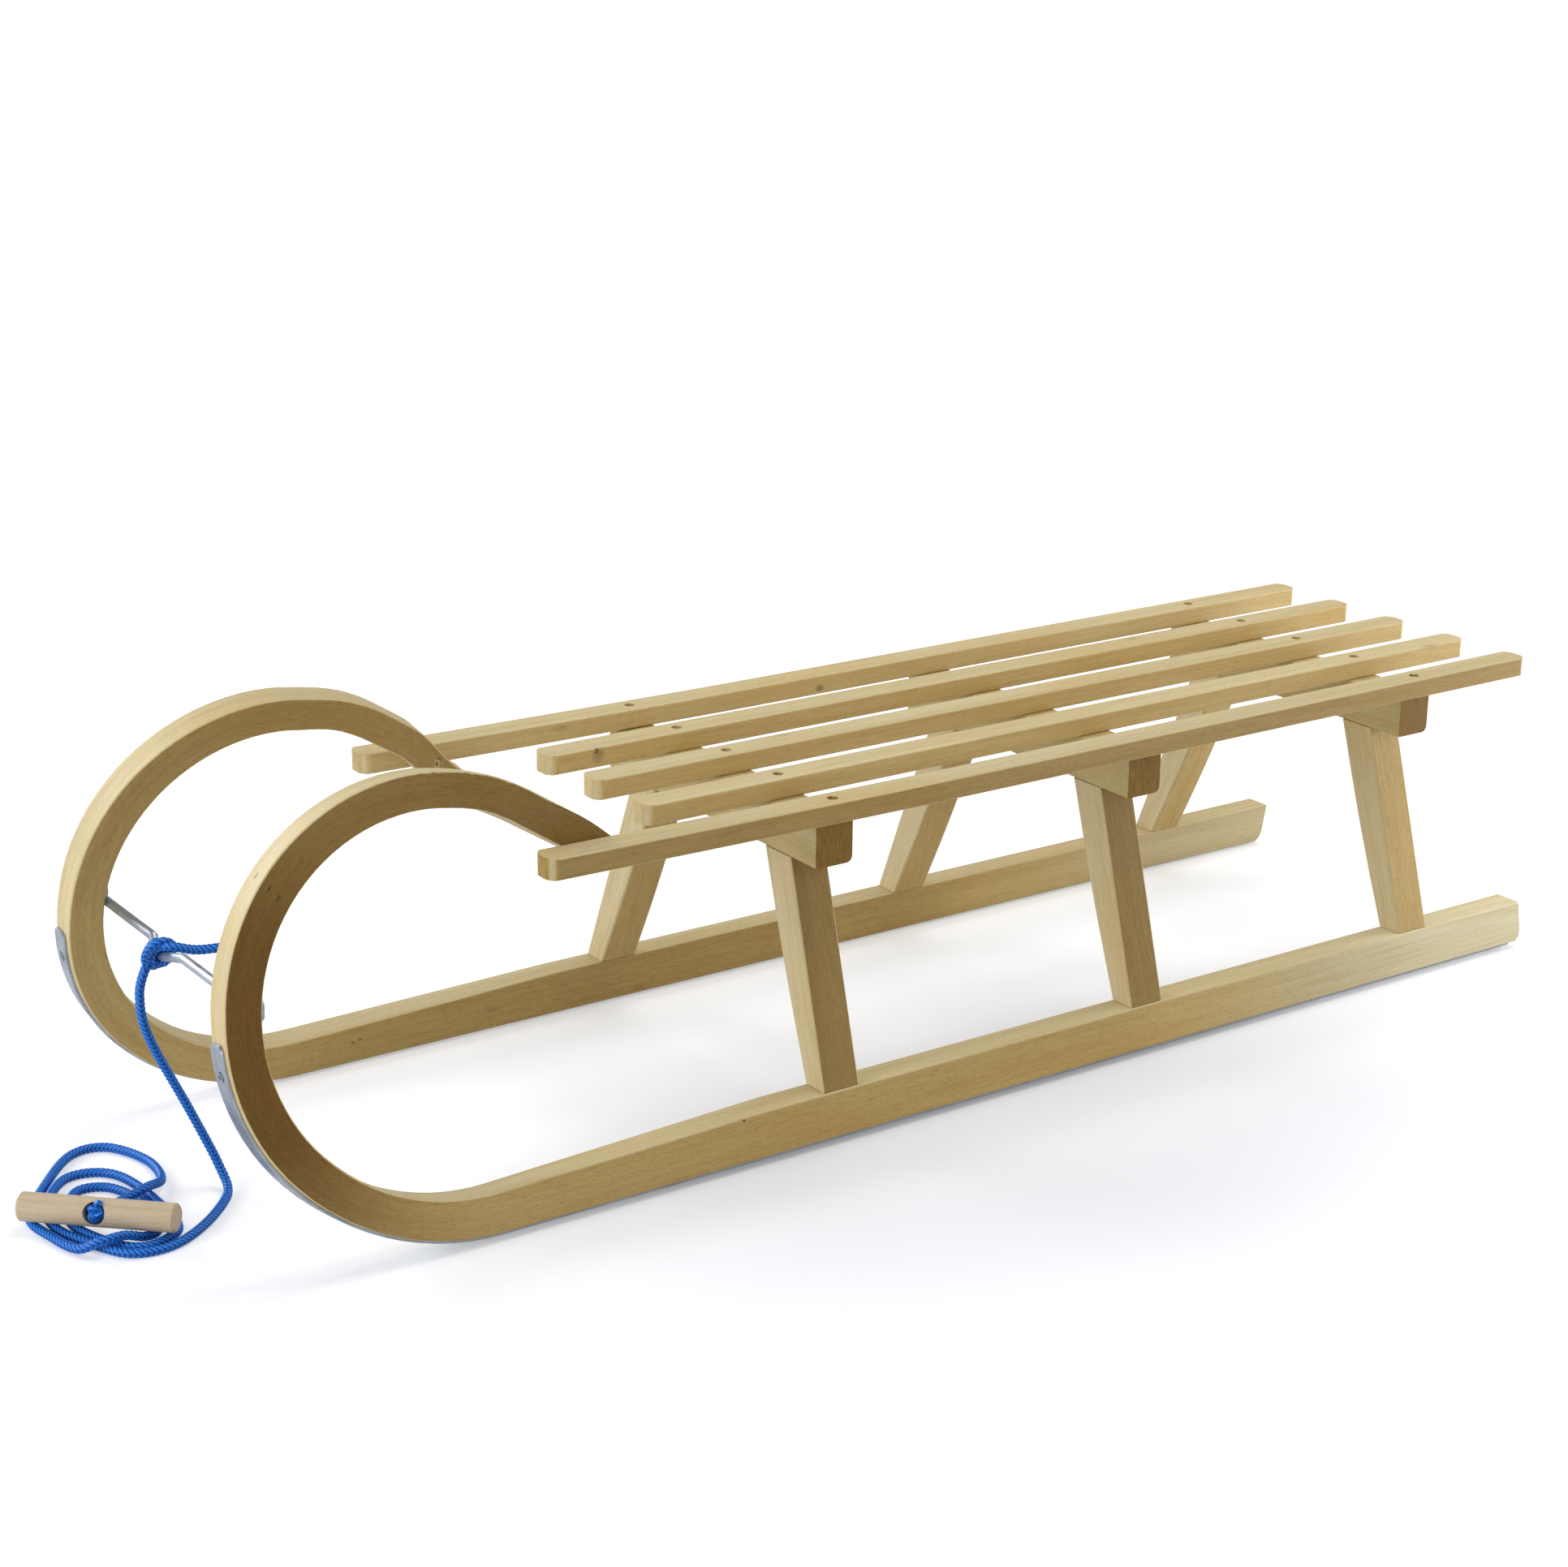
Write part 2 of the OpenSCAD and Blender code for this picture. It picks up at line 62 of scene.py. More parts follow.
# The pull bar's dip, which the rope is hitched round: x, z, and the turns of the hitch round it as
# (y, degrees round from the front, distance out).
DIP_X, DIP_Z = 540.0, 168.5
HITCH_TURNS = [
    (-27.0, -43, 8.9), (-25.6, -12, 7.2), (-24.6, 30, 6.6), (-24.3, 90, 6.5), (-24.6, 150, 6.5),
    (-25.6, 210, 6.5), (-27.4, 270, 6.5), (-29.6, 330, 6.6), (-31.0, 390, 6.6), (-31.4, 450, 6.6),
    (-31.2, 510, 6.6), (-30.6, 570, 6.6), (-29.8, 620, 7.0), (-28.6, 665, 9.2), (-26.2, 705, 10.8),
    (-23.4, 740, 11.2), (-20.8, 775, 11.4), (-19.4, 810, 11.2), (-19.8, 845, 9.6), (-21.6, 880, 7.6)]
# The dowel handle: its middle, its turn about Z, and how far its hole tips up from level.
HANDLE_MID = (608.7, 13.0, 16.5)
HANDLE_TURN = 137.0
HOLE_TILT = 20.0
# A runner's sole: where its curl starts, and the curl's arcs as (radius, degrees).
CURL_X = 393.0
CURL_ARCS = [(184.5, 49.7), (152.5, 54.0), (146.0, 79.0), (114.5, 30.8)]
RUNNER_Y, RUNNER_W, RUNNER_LEAN = 155.3, 23.0, math.radians(10)
RUNNER_REAR = -566.0
# How thick a horn is at the pull bar's ends, and where those and the shoe's top screw stand on the
# curl, in degrees from level.
HORN_T = 27.0
BAR_TURN, SHOE_SCREW_TURN = 99.0, 83.0
SEAT_Z = 243.0
# How much of a runner's width its shoe covers, and how far out it sits, on the left and on the right.
SHOE_FIT = {1: (0.80, -1.2), -1: (0.76, 1.8)}
# How far the right shoe's front end is drawn back along the curl, and between which places on it.
SHOE_BACK, SHOE_BACK_AT = 8.0, (450, 650)
# Between which lengths past its last arc a horn rounds out. By side: how much, what share of that it
# loses again, and between which lengths. The slices that it is cut into for that: first, last, step.
TAIL_RISE = (-48, 22)
TAIL_SWELL = {1: (5.4, 0.85, 62, 118), -1: (8.4, 1.4, 50, 110)}
TAIL_SLICES = (-54, 114, 6)
# Where the horns' ends are sawn level beside the outer slats, and where they are: between which
# places along the sled, and over what height.
SAWN_Z, TAIL_X, TAIL_OVER = 221.0, (220, 330), 150
# Where the outer slats start to spring up towards the horns, over what length, how high, and how
# late in that length they rise.
SPRING_X, SPRING_L, SPRING_UP, SPRING_POWER = 20, 320, 3.0, 1.4
# How far a leg splays out, in degrees.
LEG_SPLAY = 21.2
# Where the screws' heads are: over the bearers and so far below the seat, on the horns' inner cheeks,
# and along the sole. The curl's shoe screw is turned back, by side. The last two stand out of the
# sole and the horn. A shank's radius comes last.
BEARERS_X, SLATS_Y, SLAT_SCREW_DEEP = (112.0, -452.0), (-132.0, -66.0, 0.0, 66.0, 132.0), 1.6
HORN_SCREW = (291.0, 105.3, 235.0)
SHOE_SCREWS_X, SHOE_SCREW_BACK = (-540.0, -40.0, 330.0), {1: 0.0, -1: 3.0}
SHOE_SCREW_OUT, BAR_SCREW_OUT = 0.4, 4.8
SHANK = 2.0
# The camera: its yaw, pitch and roll in degrees, and its place in metres.
CAMERA_TURN = (-124.83, -18.20, 0.61)
CAMERA_AT = (1.23487, 1.68730, 0.88407)

# The wood's figure, piece by piece. Painted shading is a list of (amount, low, high): the amount is spread
# between two places along the grain, in metres, and is even where both lie before the wood starts. Above
# zero it is painted shade on the faces to the sled's sides, and below zero painted light on all faces.
EVEN = (-1.0, -0.9)
# The runners get painted shade on their cheeks, deepest towards the horns, and the left runner painted light
# at its rear.
RUNNER_PAINTED_SHADING = {
    1: ((-0.4, *EVEN), (0.96, -0.52, -0.12), (0.44, 0.40, 0.60), (-0.15, 0.72, 0.84), (0.04, 0.88, 0.94)),
    -1: ((0.62, -0.45, -0.15), (-0.08, 0.33, 0.45), (0.19, 0.60, 0.80))}
# The legs' sides, the bearers' ends and the slats' sides get even painted shade.
LEFT_LEG_PAINTED_SHADE, RIGHT_LEG_PAINTED_SHADE = (0.80, 0.80, 0.52), 0.5
BEARER_PAINTED_SHADE = 0.55
SLAT_PAINTED_SHADE = (0.34, 0.44, 0.44, 0.44, 0.68)
# How light each slat is, and how strongly its ends show their end grain.
SLAT_TONE = (1.07, 1.05, 1.03, 1.08, 1.0)
SLAT_ENDS = (0.45, 0.25, 0.30, 0.30, 0.85)
# Dark marks: x, y, z, how long and how wide, in mm, and how deep. A runner's x runs along its bend.
RUNNER_MARKS = {
    1: ((767.7, 11.5, 7.0, 3.3, 0.95, 1.0), (765.9, 11.5, 15.6, 3.0, 0.9, 1.0),
        (771.5, 0.0, 0.0, 3.6, 1.2, 0.9), (203.0, 11.5, 32.0, 2.2, 0.9, 0.9)),
    -1: ((348.0, -11.5, 19.5, 1.8, 0.9, 0.9), (342.1, -11.5, 20.8, 1.6, 0.9, 0.9))}
SLAT_MARKS = {
    1: ((-55.8, -120.0, 233.0, 5.0, 3.2, 0.55), (179.8, -120.0, 239.0, 9.0, 3.5, 0.2)),
    2: ((186.8, -54.0, 237.0, 6.0, 7.0, 0.35), (188.0, -54.0, 240.5, 2.6, 3.4, 0.7))}


# Settings

def length_setting(name, description, default, low, high):
    """A length in metres, shown to a tenth of a millimetre."""
    return bpy.props.FloatProperty(name=name, description=description, default=default, min=low, max=high,
                                   unit="LENGTH", precision=4)


def colour_setting(name, description, default):
    """A colour."""
    return bpy.props.FloatVectorProperty(name=name, description=description, default=default, min=0.0,
                                         max=1.0, subtype="COLOR", size=3)


def power_setting(name, lamp, default):
    """A lamp's power."""
    return bpy.props.FloatProperty(name=name, description=f"Power of the {lamp}", default=default, min=0.0,
                                   max=500.0, unit="POWER")


class SledRope(bpy.types.PropertyGroup):
    """The tow rope: its thickness, its braid and its colour."""
    rope_d: length_setting("Diameter", "Thickness of the rope", 0.006, 0.004, 0.007)
    stitch_pitch: length_setting("Stitch", "Length of one braid stitch along the rope", 0.0034, 0.002, 0.005)
    lanes: bpy.props.IntProperty(
        name="Lanes", description="Lanes of stitches round the rope", default=4, min=4, max=12)
    color: colour_setting("Colour", "Colour of the rope's stitches", (0.003, 0.125, 0.70))


class SledWood(bpy.types.PropertyGroup):
    """The beech: its light and dark wood, and how far its edges are eased."""
    light: colour_setting("Light wood", "Colour of the pale spring wood", (0.64, 0.535, 0.31))
    dark: colour_setting("Dark wood", "Colour of the darker growth bands", (0.50, 0.385, 0.180))
    ease: length_setting("Eased edges", "Width of the small bevel on sharp edges", 0.0008, 0.0001, 0.002)


class SledSteel(bpy.types.PropertyGroup):
    """The steel: shoes, pull bar, screws and nails."""
    zinc: colour_setting("Zinc", "Colour of the bright zinc plate", (0.50, 0.55, 0.62))
    yellow_zinc: colour_setting("Yellow zinc", "Colour of the yellow passivated screws", (0.72, 0.56, 0.26))
    nail: colour_setting("Nails", "Colour of the dull nail ends", (0.10, 0.075, 0.05))


class SledStage(bpy.types.PropertyGroup):
    """The stage: the camera's lens, the lamps and the even light."""
    lens: bpy.props.FloatProperty(
        name="Lens", description="Focal length of the camera", default=67.72, min=20.0, max=200.0,
        unit="CAMERA")
    front: power_setting("Front light", "soft lamp low in front of the horns", 50.0)
    top: power_setting("Top light", "large soft lamp overhead", 40.0)
    side: power_setting("Side light", "soft lamp on the sled's right", 38.0)
    fill: power_setting("Fill light", "soft lamp on the sled's left", 10.0)
    rear: power_setting("Rear light", "small lamp low by the sled's left rear corner", 8.0)
    sky: bpy.props.FloatProperty(
        name="Surroundings", description="Strength of the even light from all round", default=0.22, min=0.0,
        max=2.0)


# Shader building blocks

def shader_node(tree, kind, inputs=None, **settings):
    """One shader node of a kind, with its settings, and its unlinked inputs by name or number."""
    made = tree.nodes.new("ShaderNode" + kind)
    for key, value in settings.items():
        setattr(made, key, value)
    for key, value in (inputs or {}).items():
        made.inputs[key].default_value = value
    return made


def plug(tree, made, into, value):
    """Feeds an input from a socket, or sets it to a plain value."""
    if isinstance(value, bpy.types.NodeSocket):
        tree.links.new(value, made.inputs[into])
    elif value is not None:
        made.inputs[into].default_value = value


def maths(tree, operation, a, b=None, clamp=False):
    """One operation on sockets or numbers."""
    made = shader_node(tree, "Math", operation=operation, use_clamp=clamp)
    plug(tree, made, 0, a)
    plug(tree, made, 1, b)
    return made.outputs[0]


def times(tree, a, b):
    """A product of two sockets or numbers."""
    return maths(tree, "MULTIPLY", a, b)


def stretched(tree, vector, scale):
    """A vector times three factors, for a texture drawn out along the grain."""
    made = shader_node(tree, "VectorMath", {1: scale}, operation="MULTIPLY")
    plug(tree, made, 0, vector)
    return made.outputs[0]


def distance(tree, vector, spot, scale):
    """How far a vector is from a spot, in lengths stretched by three factors."""
    away = shader_node(tree, "VectorMath", {1: spot}, operation="SUBTRACT")
    plug(tree, away, 0, vector)
    far = shader_node(tree, "VectorMath", operation="LENGTH")
    plug(tree, far, 0, stretched(tree, away.outputs[0], scale))
    return far.outputs[1]


def component(tree, vector, axis):
    """A vector's part along X, Y or Z, as axis is 0, 1 or 2."""
    made = shader_node(tree, "SeparateXYZ")
    plug(tree, made, 0, vector)
    return made.outputs[axis]


def noise(tree, vector, scale, detail=3.0, roughness=0.5, distortion=0.0):
    """A noise value on a vector stretched by three factors."""
    made = shader_node(tree, "TexNoise", {"Scale": 1.0, "Detail": detail, "Roughness": roughness,
                                          "Distortion": distortion})
    plug(tree, made, "Vector", stretched(tree, vector, scale))
    return made.outputs[0]


def spread(tree, value, low, high):
    """A value spread smoothly from 0 at low to 1 at high."""
    made = shader_node(tree, "MapRange", {"From Min": low, "From Max": high}, interpolation_type="SMOOTHSTEP")
    plug(tree, made, 0, value)
    return made.outputs[0]


def tinted(tree, factor, a, b, mode="MIX"):
    """A mix of two colours."""
    made = shader_node(tree, "Mix", data_type="RGBA", blend_type=mode)
    plug(tree, made, 0, factor)
    plug(tree, made, 6, a)
    plug(tree, made, 7, b)
    return made.outputs[2]


def node_group(name, inputs, outputs):
    """An empty shader group with named sockets, and its input and output nodes."""
    tree = bpy.data.node_groups.new(name, "ShaderNodeTree")
    for label, kind in inputs:
        tree.interface.new_socket(label, in_out="INPUT", socket_type=kind)
    for label, kind in outputs:
        tree.interface.new_socket(label, in_out="OUTPUT", socket_type=kind)
    return tree, tree.nodes.new("NodeGroupInput").outputs, tree.nodes.new("NodeGroupOutput").inputs


def beech_grain():
    """The shared beech: growth bands, streaks, pores, ray flecks, rare pin knots, end grain, and painted
    shade and painted light.
    """
    if "Beech grain" in bpy.data.node_groups:
        return bpy.data.node_groups["Beech grain"]
    tree, taken, given = node_group(
        "Beech grain",
        [("Vector", "NodeSocketVector"), ("Light", "NodeSocketColor"), ("Dark", "NodeSocketColor"),
         ("End grain", "NodeSocketFloat"), ("Knots", "NodeSocketFloat"), ("Painted shading", "NodeSocketFloat"),
         ("Marks", "NodeSocketFloat")],
        [("Color", "NodeSocketColor"), ("Roughness", "NodeSocketFloat"), ("Height", "NodeSocketFloat")])
    place = taken["Vector"]
    bands = spread(tree, noise(tree, place, (1.6, 42, 42), 3.0, 0.55, 0.7), 0.3, 0.7)
    streaks = noise(tree, place, (14, 420, 420), 4.0, 0.62)
    streak = spread(tree, streaks, 0.38, 0.72)
    pores = noise(tree, place, (110, 1500, 1500), 2.0)
    tone = maths(tree, "ADD", times(tree, bands, 0.42), times(tree, streak, 0.42), True)
    color = tinted(tree, tone, taken["Light"], taken["Dark"])
    mottle = spread(tree, noise(tree, place, (4, 16, 16), 2.0, 0.5), 0.52, 0.75)
    color = tinted(tree, times(tree, mottle, 0.35), color, (0.55, 0.37, 0.10, 1.0))
    # painted shading turns the wood golden first, then a deeper browner tone, as painted shade, and below
    # zero it turns the wood pale, as painted light
    pale = maths(tree, "MULTIPLY", taken["Painted shading"], -2.0, True)
    painted_gold = maths(tree, "MULTIPLY", taken["Painted shading"], 2.0, True)
    painted_brown = maths(tree, "SUBTRACT", times(tree, taken["Painted shading"], 2.0), 1.0, True)
    for amount, tone in ((painted_gold, (0.97, 0.83, 0.53, 1.0)), (painted_brown, (0.32, 0.23, 0.03, 1.0)),
                         (pale, (1.24, 1.34, 1.55, 1.0))):
        color = tinted(tree, amount, color, tone, "MULTIPLY")
    # the rays show as short flecks, and as finer, longer lines, both darker where the painted shade is
    # stronger
    flecks = spread(tree, noise(tree, place, (280, 1500, 1500), 2.0, 0.5), 0.51, 0.68)
    lines = spread(tree, noise(tree, place, (80, 1900, 1900), 2.0, 0.5), 0.48, 0.70)
    for seen, least, more in ((flecks, 0.18, 0.16), (lines, 0.10, 0.28)):
        shade = times(tree, seen, maths(tree, "ADD", times(tree, taken["Painted shading"], more), least))
        color = tinted(tree, shade, color, tinted(tree, 1.0, color, (0.42, 0.33, 0.22, 1.0), "MULTIPLY"))
    cells = shader_node(tree, "TexVoronoi", {"Scale": 1.0})
    plug(tree, cells, "Vector", stretched(tree, place, (9, 24, 24)))
    chosen = shader_node(tree, "SeparateColor")
    plug(tree, chosen, 0, cells.outputs["Color"])
    some = spread(tree, chosen.outputs[0], 0.55, 0.75)
    ring = spread(tree, cells.outputs["Distance"], 0.13, 0.05)
    core = spread(tree, cells.outputs["Distance"], 0.06, 0.03)
    knot = maths(tree, "ADD", times(tree, ring, 0.3), times(tree, core, 0.6), True)
    knot = times(tree, times(tree, knot, some), taken["Knots"])
    knot = maths(tree, "MAXIMUM", knot, taken["Marks"])
    color = tinted(tree, knot, color, (0.09, 0.045, 0.012, 1.0))
    ends = spread(tree, noise(tree, place, (90, 500, 90), 3.0, 0.6), 0.25, 0.8)
    color = tinted(tree, taken["End grain"], color, tinted(
        tree, 1.0, tinted(tree, ends, (0.48, 0.37, 0.08, 1.0), (0.72, 0.58, 0.16, 1.0)), color, "MULTIPLY"))
    tree.links.new(color, given["Color"])
    tree.links.new(maths(tree, "ADD", times(tree, streak, 0.14), 0.52), given["Roughness"])
    tree.links.new(maths(tree, "SUBTRACT", times(tree, streaks, 0.7), times(tree, pores, 0.5)),
                   given["Height"])
    return tree


def worn_metal():
    """The shared steel wear: cloudy stains, drawn lines in the gloss, and a height for them."""
    if "Worn metal" in bpy.data.node_groups:
        return bpy.data.node_groups["Worn metal"]
    tree, taken, given = node_group(
        "Worn metal", [("Vector", "NodeSocketVector"), ("Roughness", "NodeSocketFloat")],
        [("Stain", "NodeSocketFloat"), ("Roughness", "NodeSocketFloat"), ("Height", "NodeSocketFloat")])
    clouds = spread(tree, noise(tree, taken["Vector"], (55, 55, 55), 4.0, 0.6), 0.4, 0.7)
    lines = noise(tree, taken["Vector"], (35, 900, 900), 3.0, 0.6)
    tree.links.new(clouds, given["Stain"])
    tree.links.new(maths(tree, "ADD", taken["Roughness"], times(tree, lines, 0.2)), given["Roughness"])
    tree.links.new(lines, given["Height"])
    return tree


def new_material(name):
    """A new node material: the material, its tree and its Principled BSDF."""
    made = bpy.data.materials.new(name)
    made.use_nodes = True
    return made, made.node_tree, made.node_tree.nodes["Principled BSDF"]


def bump(tree, shader, height, strength, distance):
    """A bump from a height, into the shader's normal."""
    made = shader_node(tree, "Bump", {"Strength": strength, "Distance": distance})
    plug(tree, made, "Height", height)
    tree.links.new(made.outputs[0], shader.inputs["Normal"])


def marked(tree, place, marks):
    """A mask of dark marks in the wood, each at x, y, z, so long and wide, in mm, and so deep."""
    total = None
    ragged = times(tree, noise(tree, place, (300, 900, 900), 2.0), 0.9)
    for x, y, z, long, wide, depth in marks:
        far = distance(tree, place, (x * MM, y * MM, z * MM),
                       (1 / (long * MM), 1 / (wide * MM), 1 / (wide * MM)))
        mask = times(tree, spread(tree, maths(tree, "ADD", far, ragged), 1.5, 0.9), depth)
        total = mask if total is None else maths(tree, "MAXIMUM", total, mask)
    return total


def beech(name, turn=(0, 0, 0), shift=(0, 0, 0), tone=1.0, knots=0.0, grain=None, end=None, painted_shading=(),
          marks=(), tint=(1.0, 1.0, 1.0), ends=1.0):
    """Beech with its grain along X after a turn, or along a piece's own grain attribute. The shift takes
    each piece from another place in the wood.

    End grain shows where the surface faces along the grain, as strongly as ends says, or evenly, as end
    says. The faces to the sled's sides get painted shade, warmer and darker, by the painted shading's
    amounts. Where those come to less than zero, all the faces get painted light and are paler."""
    wood = bpy.context.scene.sled_wood
    made, tree, shader = new_material(name)
    coords = shader_node(tree, "TexCoord")
    place = coords.outputs["Object"]
    if grain:
        place = shader_node(tree, "Attribute", attribute_name=grain).outputs["Vector"]
    mapping = shader_node(tree, "Mapping", {"Location": shift, "Rotation": turn})
    plug(tree, mapping, "Vector", place)
    if end is None:
        faces = shader_node(tree, "Mapping", {"Rotation": turn}, vector_type="VECTOR")
        plug(tree, faces, "Vector", coords.outputs["Normal"])
        facing = maths(tree, "ABSOLUTE", component(tree, faces.outputs[0], 0))
        end = times(tree, spread(tree, facing, 0.8, 0.95), ends)
    figure = shader_node(tree, "Group", node_tree=beech_grain())
    if painted_shading:
        far = component(tree, place, 0)
        total = 0.0
        for amount, low, high in painted_shading:
            total = maths(tree, "ADD", total, times(tree, spread(tree, far, low, high), amount))
        # painted shade on the faces to the sides, or painted light on all faces where the amount is below
        # zero
        facing = maths(tree, "ABSOLUTE", component(tree, coords.outputs["Normal"], 1))
        cheek = spread(tree, facing, 0.75, 0.92)
        plug(tree, figure, "Painted shading", maths(tree, "MINIMUM", times(tree, cheek, total), total))
    if marks:
        plug(tree, figure, "Marks", marked(tree, place, marks))
    plug(tree, figure, "Vector", mapping.outputs[0])
    plug(tree, figure, "Light", (*[tone * c * t for c, t in zip(wood.light, tint)], 1.0))
    plug(tree, figure, "Dark", (*[tone * c * t for c, t in zip(wood.dark, tint)], 1.0))
    plug(tree, figure, "End grain", end)
    plug(tree, figure, "Knots", knots)
    tree.links.new(figure.outputs["Color"], shader.inputs["Base Color"])
    tree.links.new(figure.outputs["Roughness"], shader.inputs["Roughness"])
    shader.inputs["Specular IOR Level"].default_value = 0.35
    shader.inputs["Coat Weight"].default_value = 0.10
    shader.inputs["Coat Roughness"].default_value = 0.38
    bump(tree, shader, figure.outputs["Height"], 0.25, 0.0004)
    return made


def steel(name, color, light, stain, roughness, metallic=1.0):
    """Plated or bare steel of a setting's colour, so light, with faint drawn lines and cloudy stains."""
    made, tree, shader = new_material(name)
    wear = shader_node(tree, "Group", node_tree=worn_metal())
    plug(tree, wear, "Vector", shader_node(tree, "TexCoord").outputs["Object"])
    plug(tree, wear, "Roughness", roughness)
    clean, cloudy = ((*[share * c for c in color], 1.0) for share in (light, stain))
    tree.links.new(tinted(tree, wear.outputs["Stain"], clean, cloudy), shader.inputs["Base Color"])
    tree.links.new(wear.outputs["Roughness"], shader.inputs["Roughness"])
    shader.inputs["Metallic"].default_value = metallic
    bump(tree, shader, wear.outputs["Height"], 0.12, 0.0003)
    return made


def braid():
    """Glossy braided rope: stitches pale on their crowns, a painted highlight, and deep in the grooves, a
    painted shade, with fine fibres that carry a painted sheen.
    """
    if "braided_rope" in bpy.data.materials:
        return bpy.data.materials["braided_rope"]
    color = bpy.context.scene.sled_rope.color
    made, tree, shader = new_material("braided_rope")
    crown = shader_node(tree, "Attribute", attribute_name="stitch").outputs["Fac"]
    strands = shader_node(tree, "UVMap", uv_map="rope").outputs[0]
    fibres = noise(tree, strands, (1500, 40, 1), 2.0)
    # the grooves are painted shade, the crowns a painted highlight, and the fibres a painted sheen
    deep = (*[0.22 * c for c in color], 1.0)
    pale = (color[0] + 0.012, min(1.0, 1.5 * color[1] + 0.03), min(1.0, 1.2 * color[2] + 0.03), 1.0)
    sheen = (color[0] + 0.06, min(1.0, 2.2 * color[1] + 0.12), 1.0, 1.0)
    body = tinted(tree, spread(tree, crown, 0.05, 0.85), deep, pale)
    body = tinted(tree, times(tree, spread(tree, fibres, 0.45, 0.75), 0.2), body, sheen)
    tree.links.new(body, shader.inputs["Base Color"])
    shader.inputs["Roughness"].default_value = 0.42
    shader.inputs["Specular IOR Level"].default_value = 0.3
    bump(tree, shader, fibres, 0.2, 0.0001)
    return made


# Modelling helpers

def smooth_over(made, angle):
    """Keeps creases above an angle crisp, and weighs the shading by face size."""
    mesh = bmesh.new()
    mesh.from_mesh(made.data)
    for edge in mesh.edges:
        edge.smooth = len(edge.link_faces) != 2 or edge.calc_face_angle() < math.radians(angle)
    mesh.to_mesh(made.data)
    mesh.free()
    made.modifiers.new("Even shading", "WEIGHTED_NORMAL").keep_sharp = True


def finished(name, mesh, materials, stands_for, crisp=35.0):
    """Makes an object from a bmesh, with its materials, in place of its CAD node."""
    data = bpy.data.meshes.new(name)
    mesh.to_mesh(data)
    mesh.free()
    data.shade_smooth()
    for finish in materials:
        data.materials.append(finish)
    made = bpy.data.objects.new(name, data)
    bpy.context.scene.collection.objects.link(made)
    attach(made, "root")
    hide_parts(stands_for)
    if crisp:
        smooth_over(made, crisp)
    return made


def merged_copy(node_name):
    """A CAD node's mesh as a bmesh whose loose triangles are joined up."""
    mesh = bmesh.new()
    mesh.from_mesh(NODES[node_name].data)
    bmesh.ops.remove_doubles(mesh, verts=mesh.verts[:], dist=2e-6)
    return mesh


def ease_edges(mesh, width, angle=40.0, flat=True):
    """Joins up triangles that lie flat, unless told not to, and bevels the edges over an angle."""
    if flat:
        bmesh.ops.dissolve_limit(mesh, angle_limit=math.radians(0.6), verts=mesh.verts[:],
                                 edges=mesh.edges[:])
    keen = [e for e in mesh.edges if len(e.link_faces) == 2 and e.calc_face_angle() > math.radians(angle)]
    bmesh.ops.bevel(mesh, geom=keen, offset=width, offset_type="OFFSET", segments=2, profile=0.5,
                    affect="EDGES", clamp_overlap=True, material=-1)


def eased(value, low, high):
    """A value spread smoothly from 0 at low to 1 at high."""
    t = min(1.0, max(0.0, (value - low) / (high - low)))
    return t * t * (3 - 2 * t)


def on_route(route, t, low=0.0):
    """The point at t along a route, on one smooth curve through its points, kept above low."""
    i = min(int(t), len(route) - 2)
    f = t - i
    b, c = Vector(route[i]), Vector(route[i + 1])
    a = 2 * b - c if i == 0 else Vector(route[i - 1])
    d = 2 * c - b if i == len(route) - 2 else Vector(route[i + 2])
    spot = 0.5 * (2 * b + (c - a) * f + (2 * a - 5 * b + 4 * c - d) * f * f
                  + (3 * b - a - 3 * c + d) * f ** 3)
    spot.z = max(spot.z, low)
    return spot


def even_line(route, step, low=0.0):
    """Points along a route's curve about a step apart, and the curve's length."""
    fine = [on_route(route, k / 40, low) for k in range(40 * (len(route) - 1) + 1)]
    far = [0.0]
    for p, q in zip(fine, fine[1:]):
        far.append(far[-1] + (q - p).length)
    count = max(8, round(far[-1] / step))
    line, k = [], 0
    for n in range(count + 1):
        want = far[-1] * n / count
        while k < len(far) - 2 and far[k + 1] < want:
            k += 1
        line.append(fine[k].lerp(fine[k + 1], (want - far[k]) / max(1e-9, far[k + 1] - far[k])))
    return line, far[-1]


def carried_frames(line):
    """A direction and a cross direction that never twists, at each point of a line."""
    ways = [(line[min(k + 1, len(line) - 1)] - line[max(k - 1, 0)]).normalized() for k in range(len(line))]
    across = ways[0].cross(Vector((0.3, 0.9, 0.1))).normalized()
    frames = []
    for way in ways:
        across = (across - across.dot(way) * way).normalized()
        frames.append((across, way.cross(across)))
    return frames


def stitch_height(along, turn, lanes, pitch):
    """The braid's relief, 0 to 1: lanes of stitches that lean to and fro, so that they make chevrons."""
    lane = turn * lanes
    side = lane - int(lane) - 0.5
    lean = 1 if int(lane) % 2 else -1
    crown = math.cos(math.pi * (along / pitch + 1.35 * lean * side)) ** 2
    return crown ** 0.7 * (1.0 - 0.6 * abs(2 * side) ** 3)


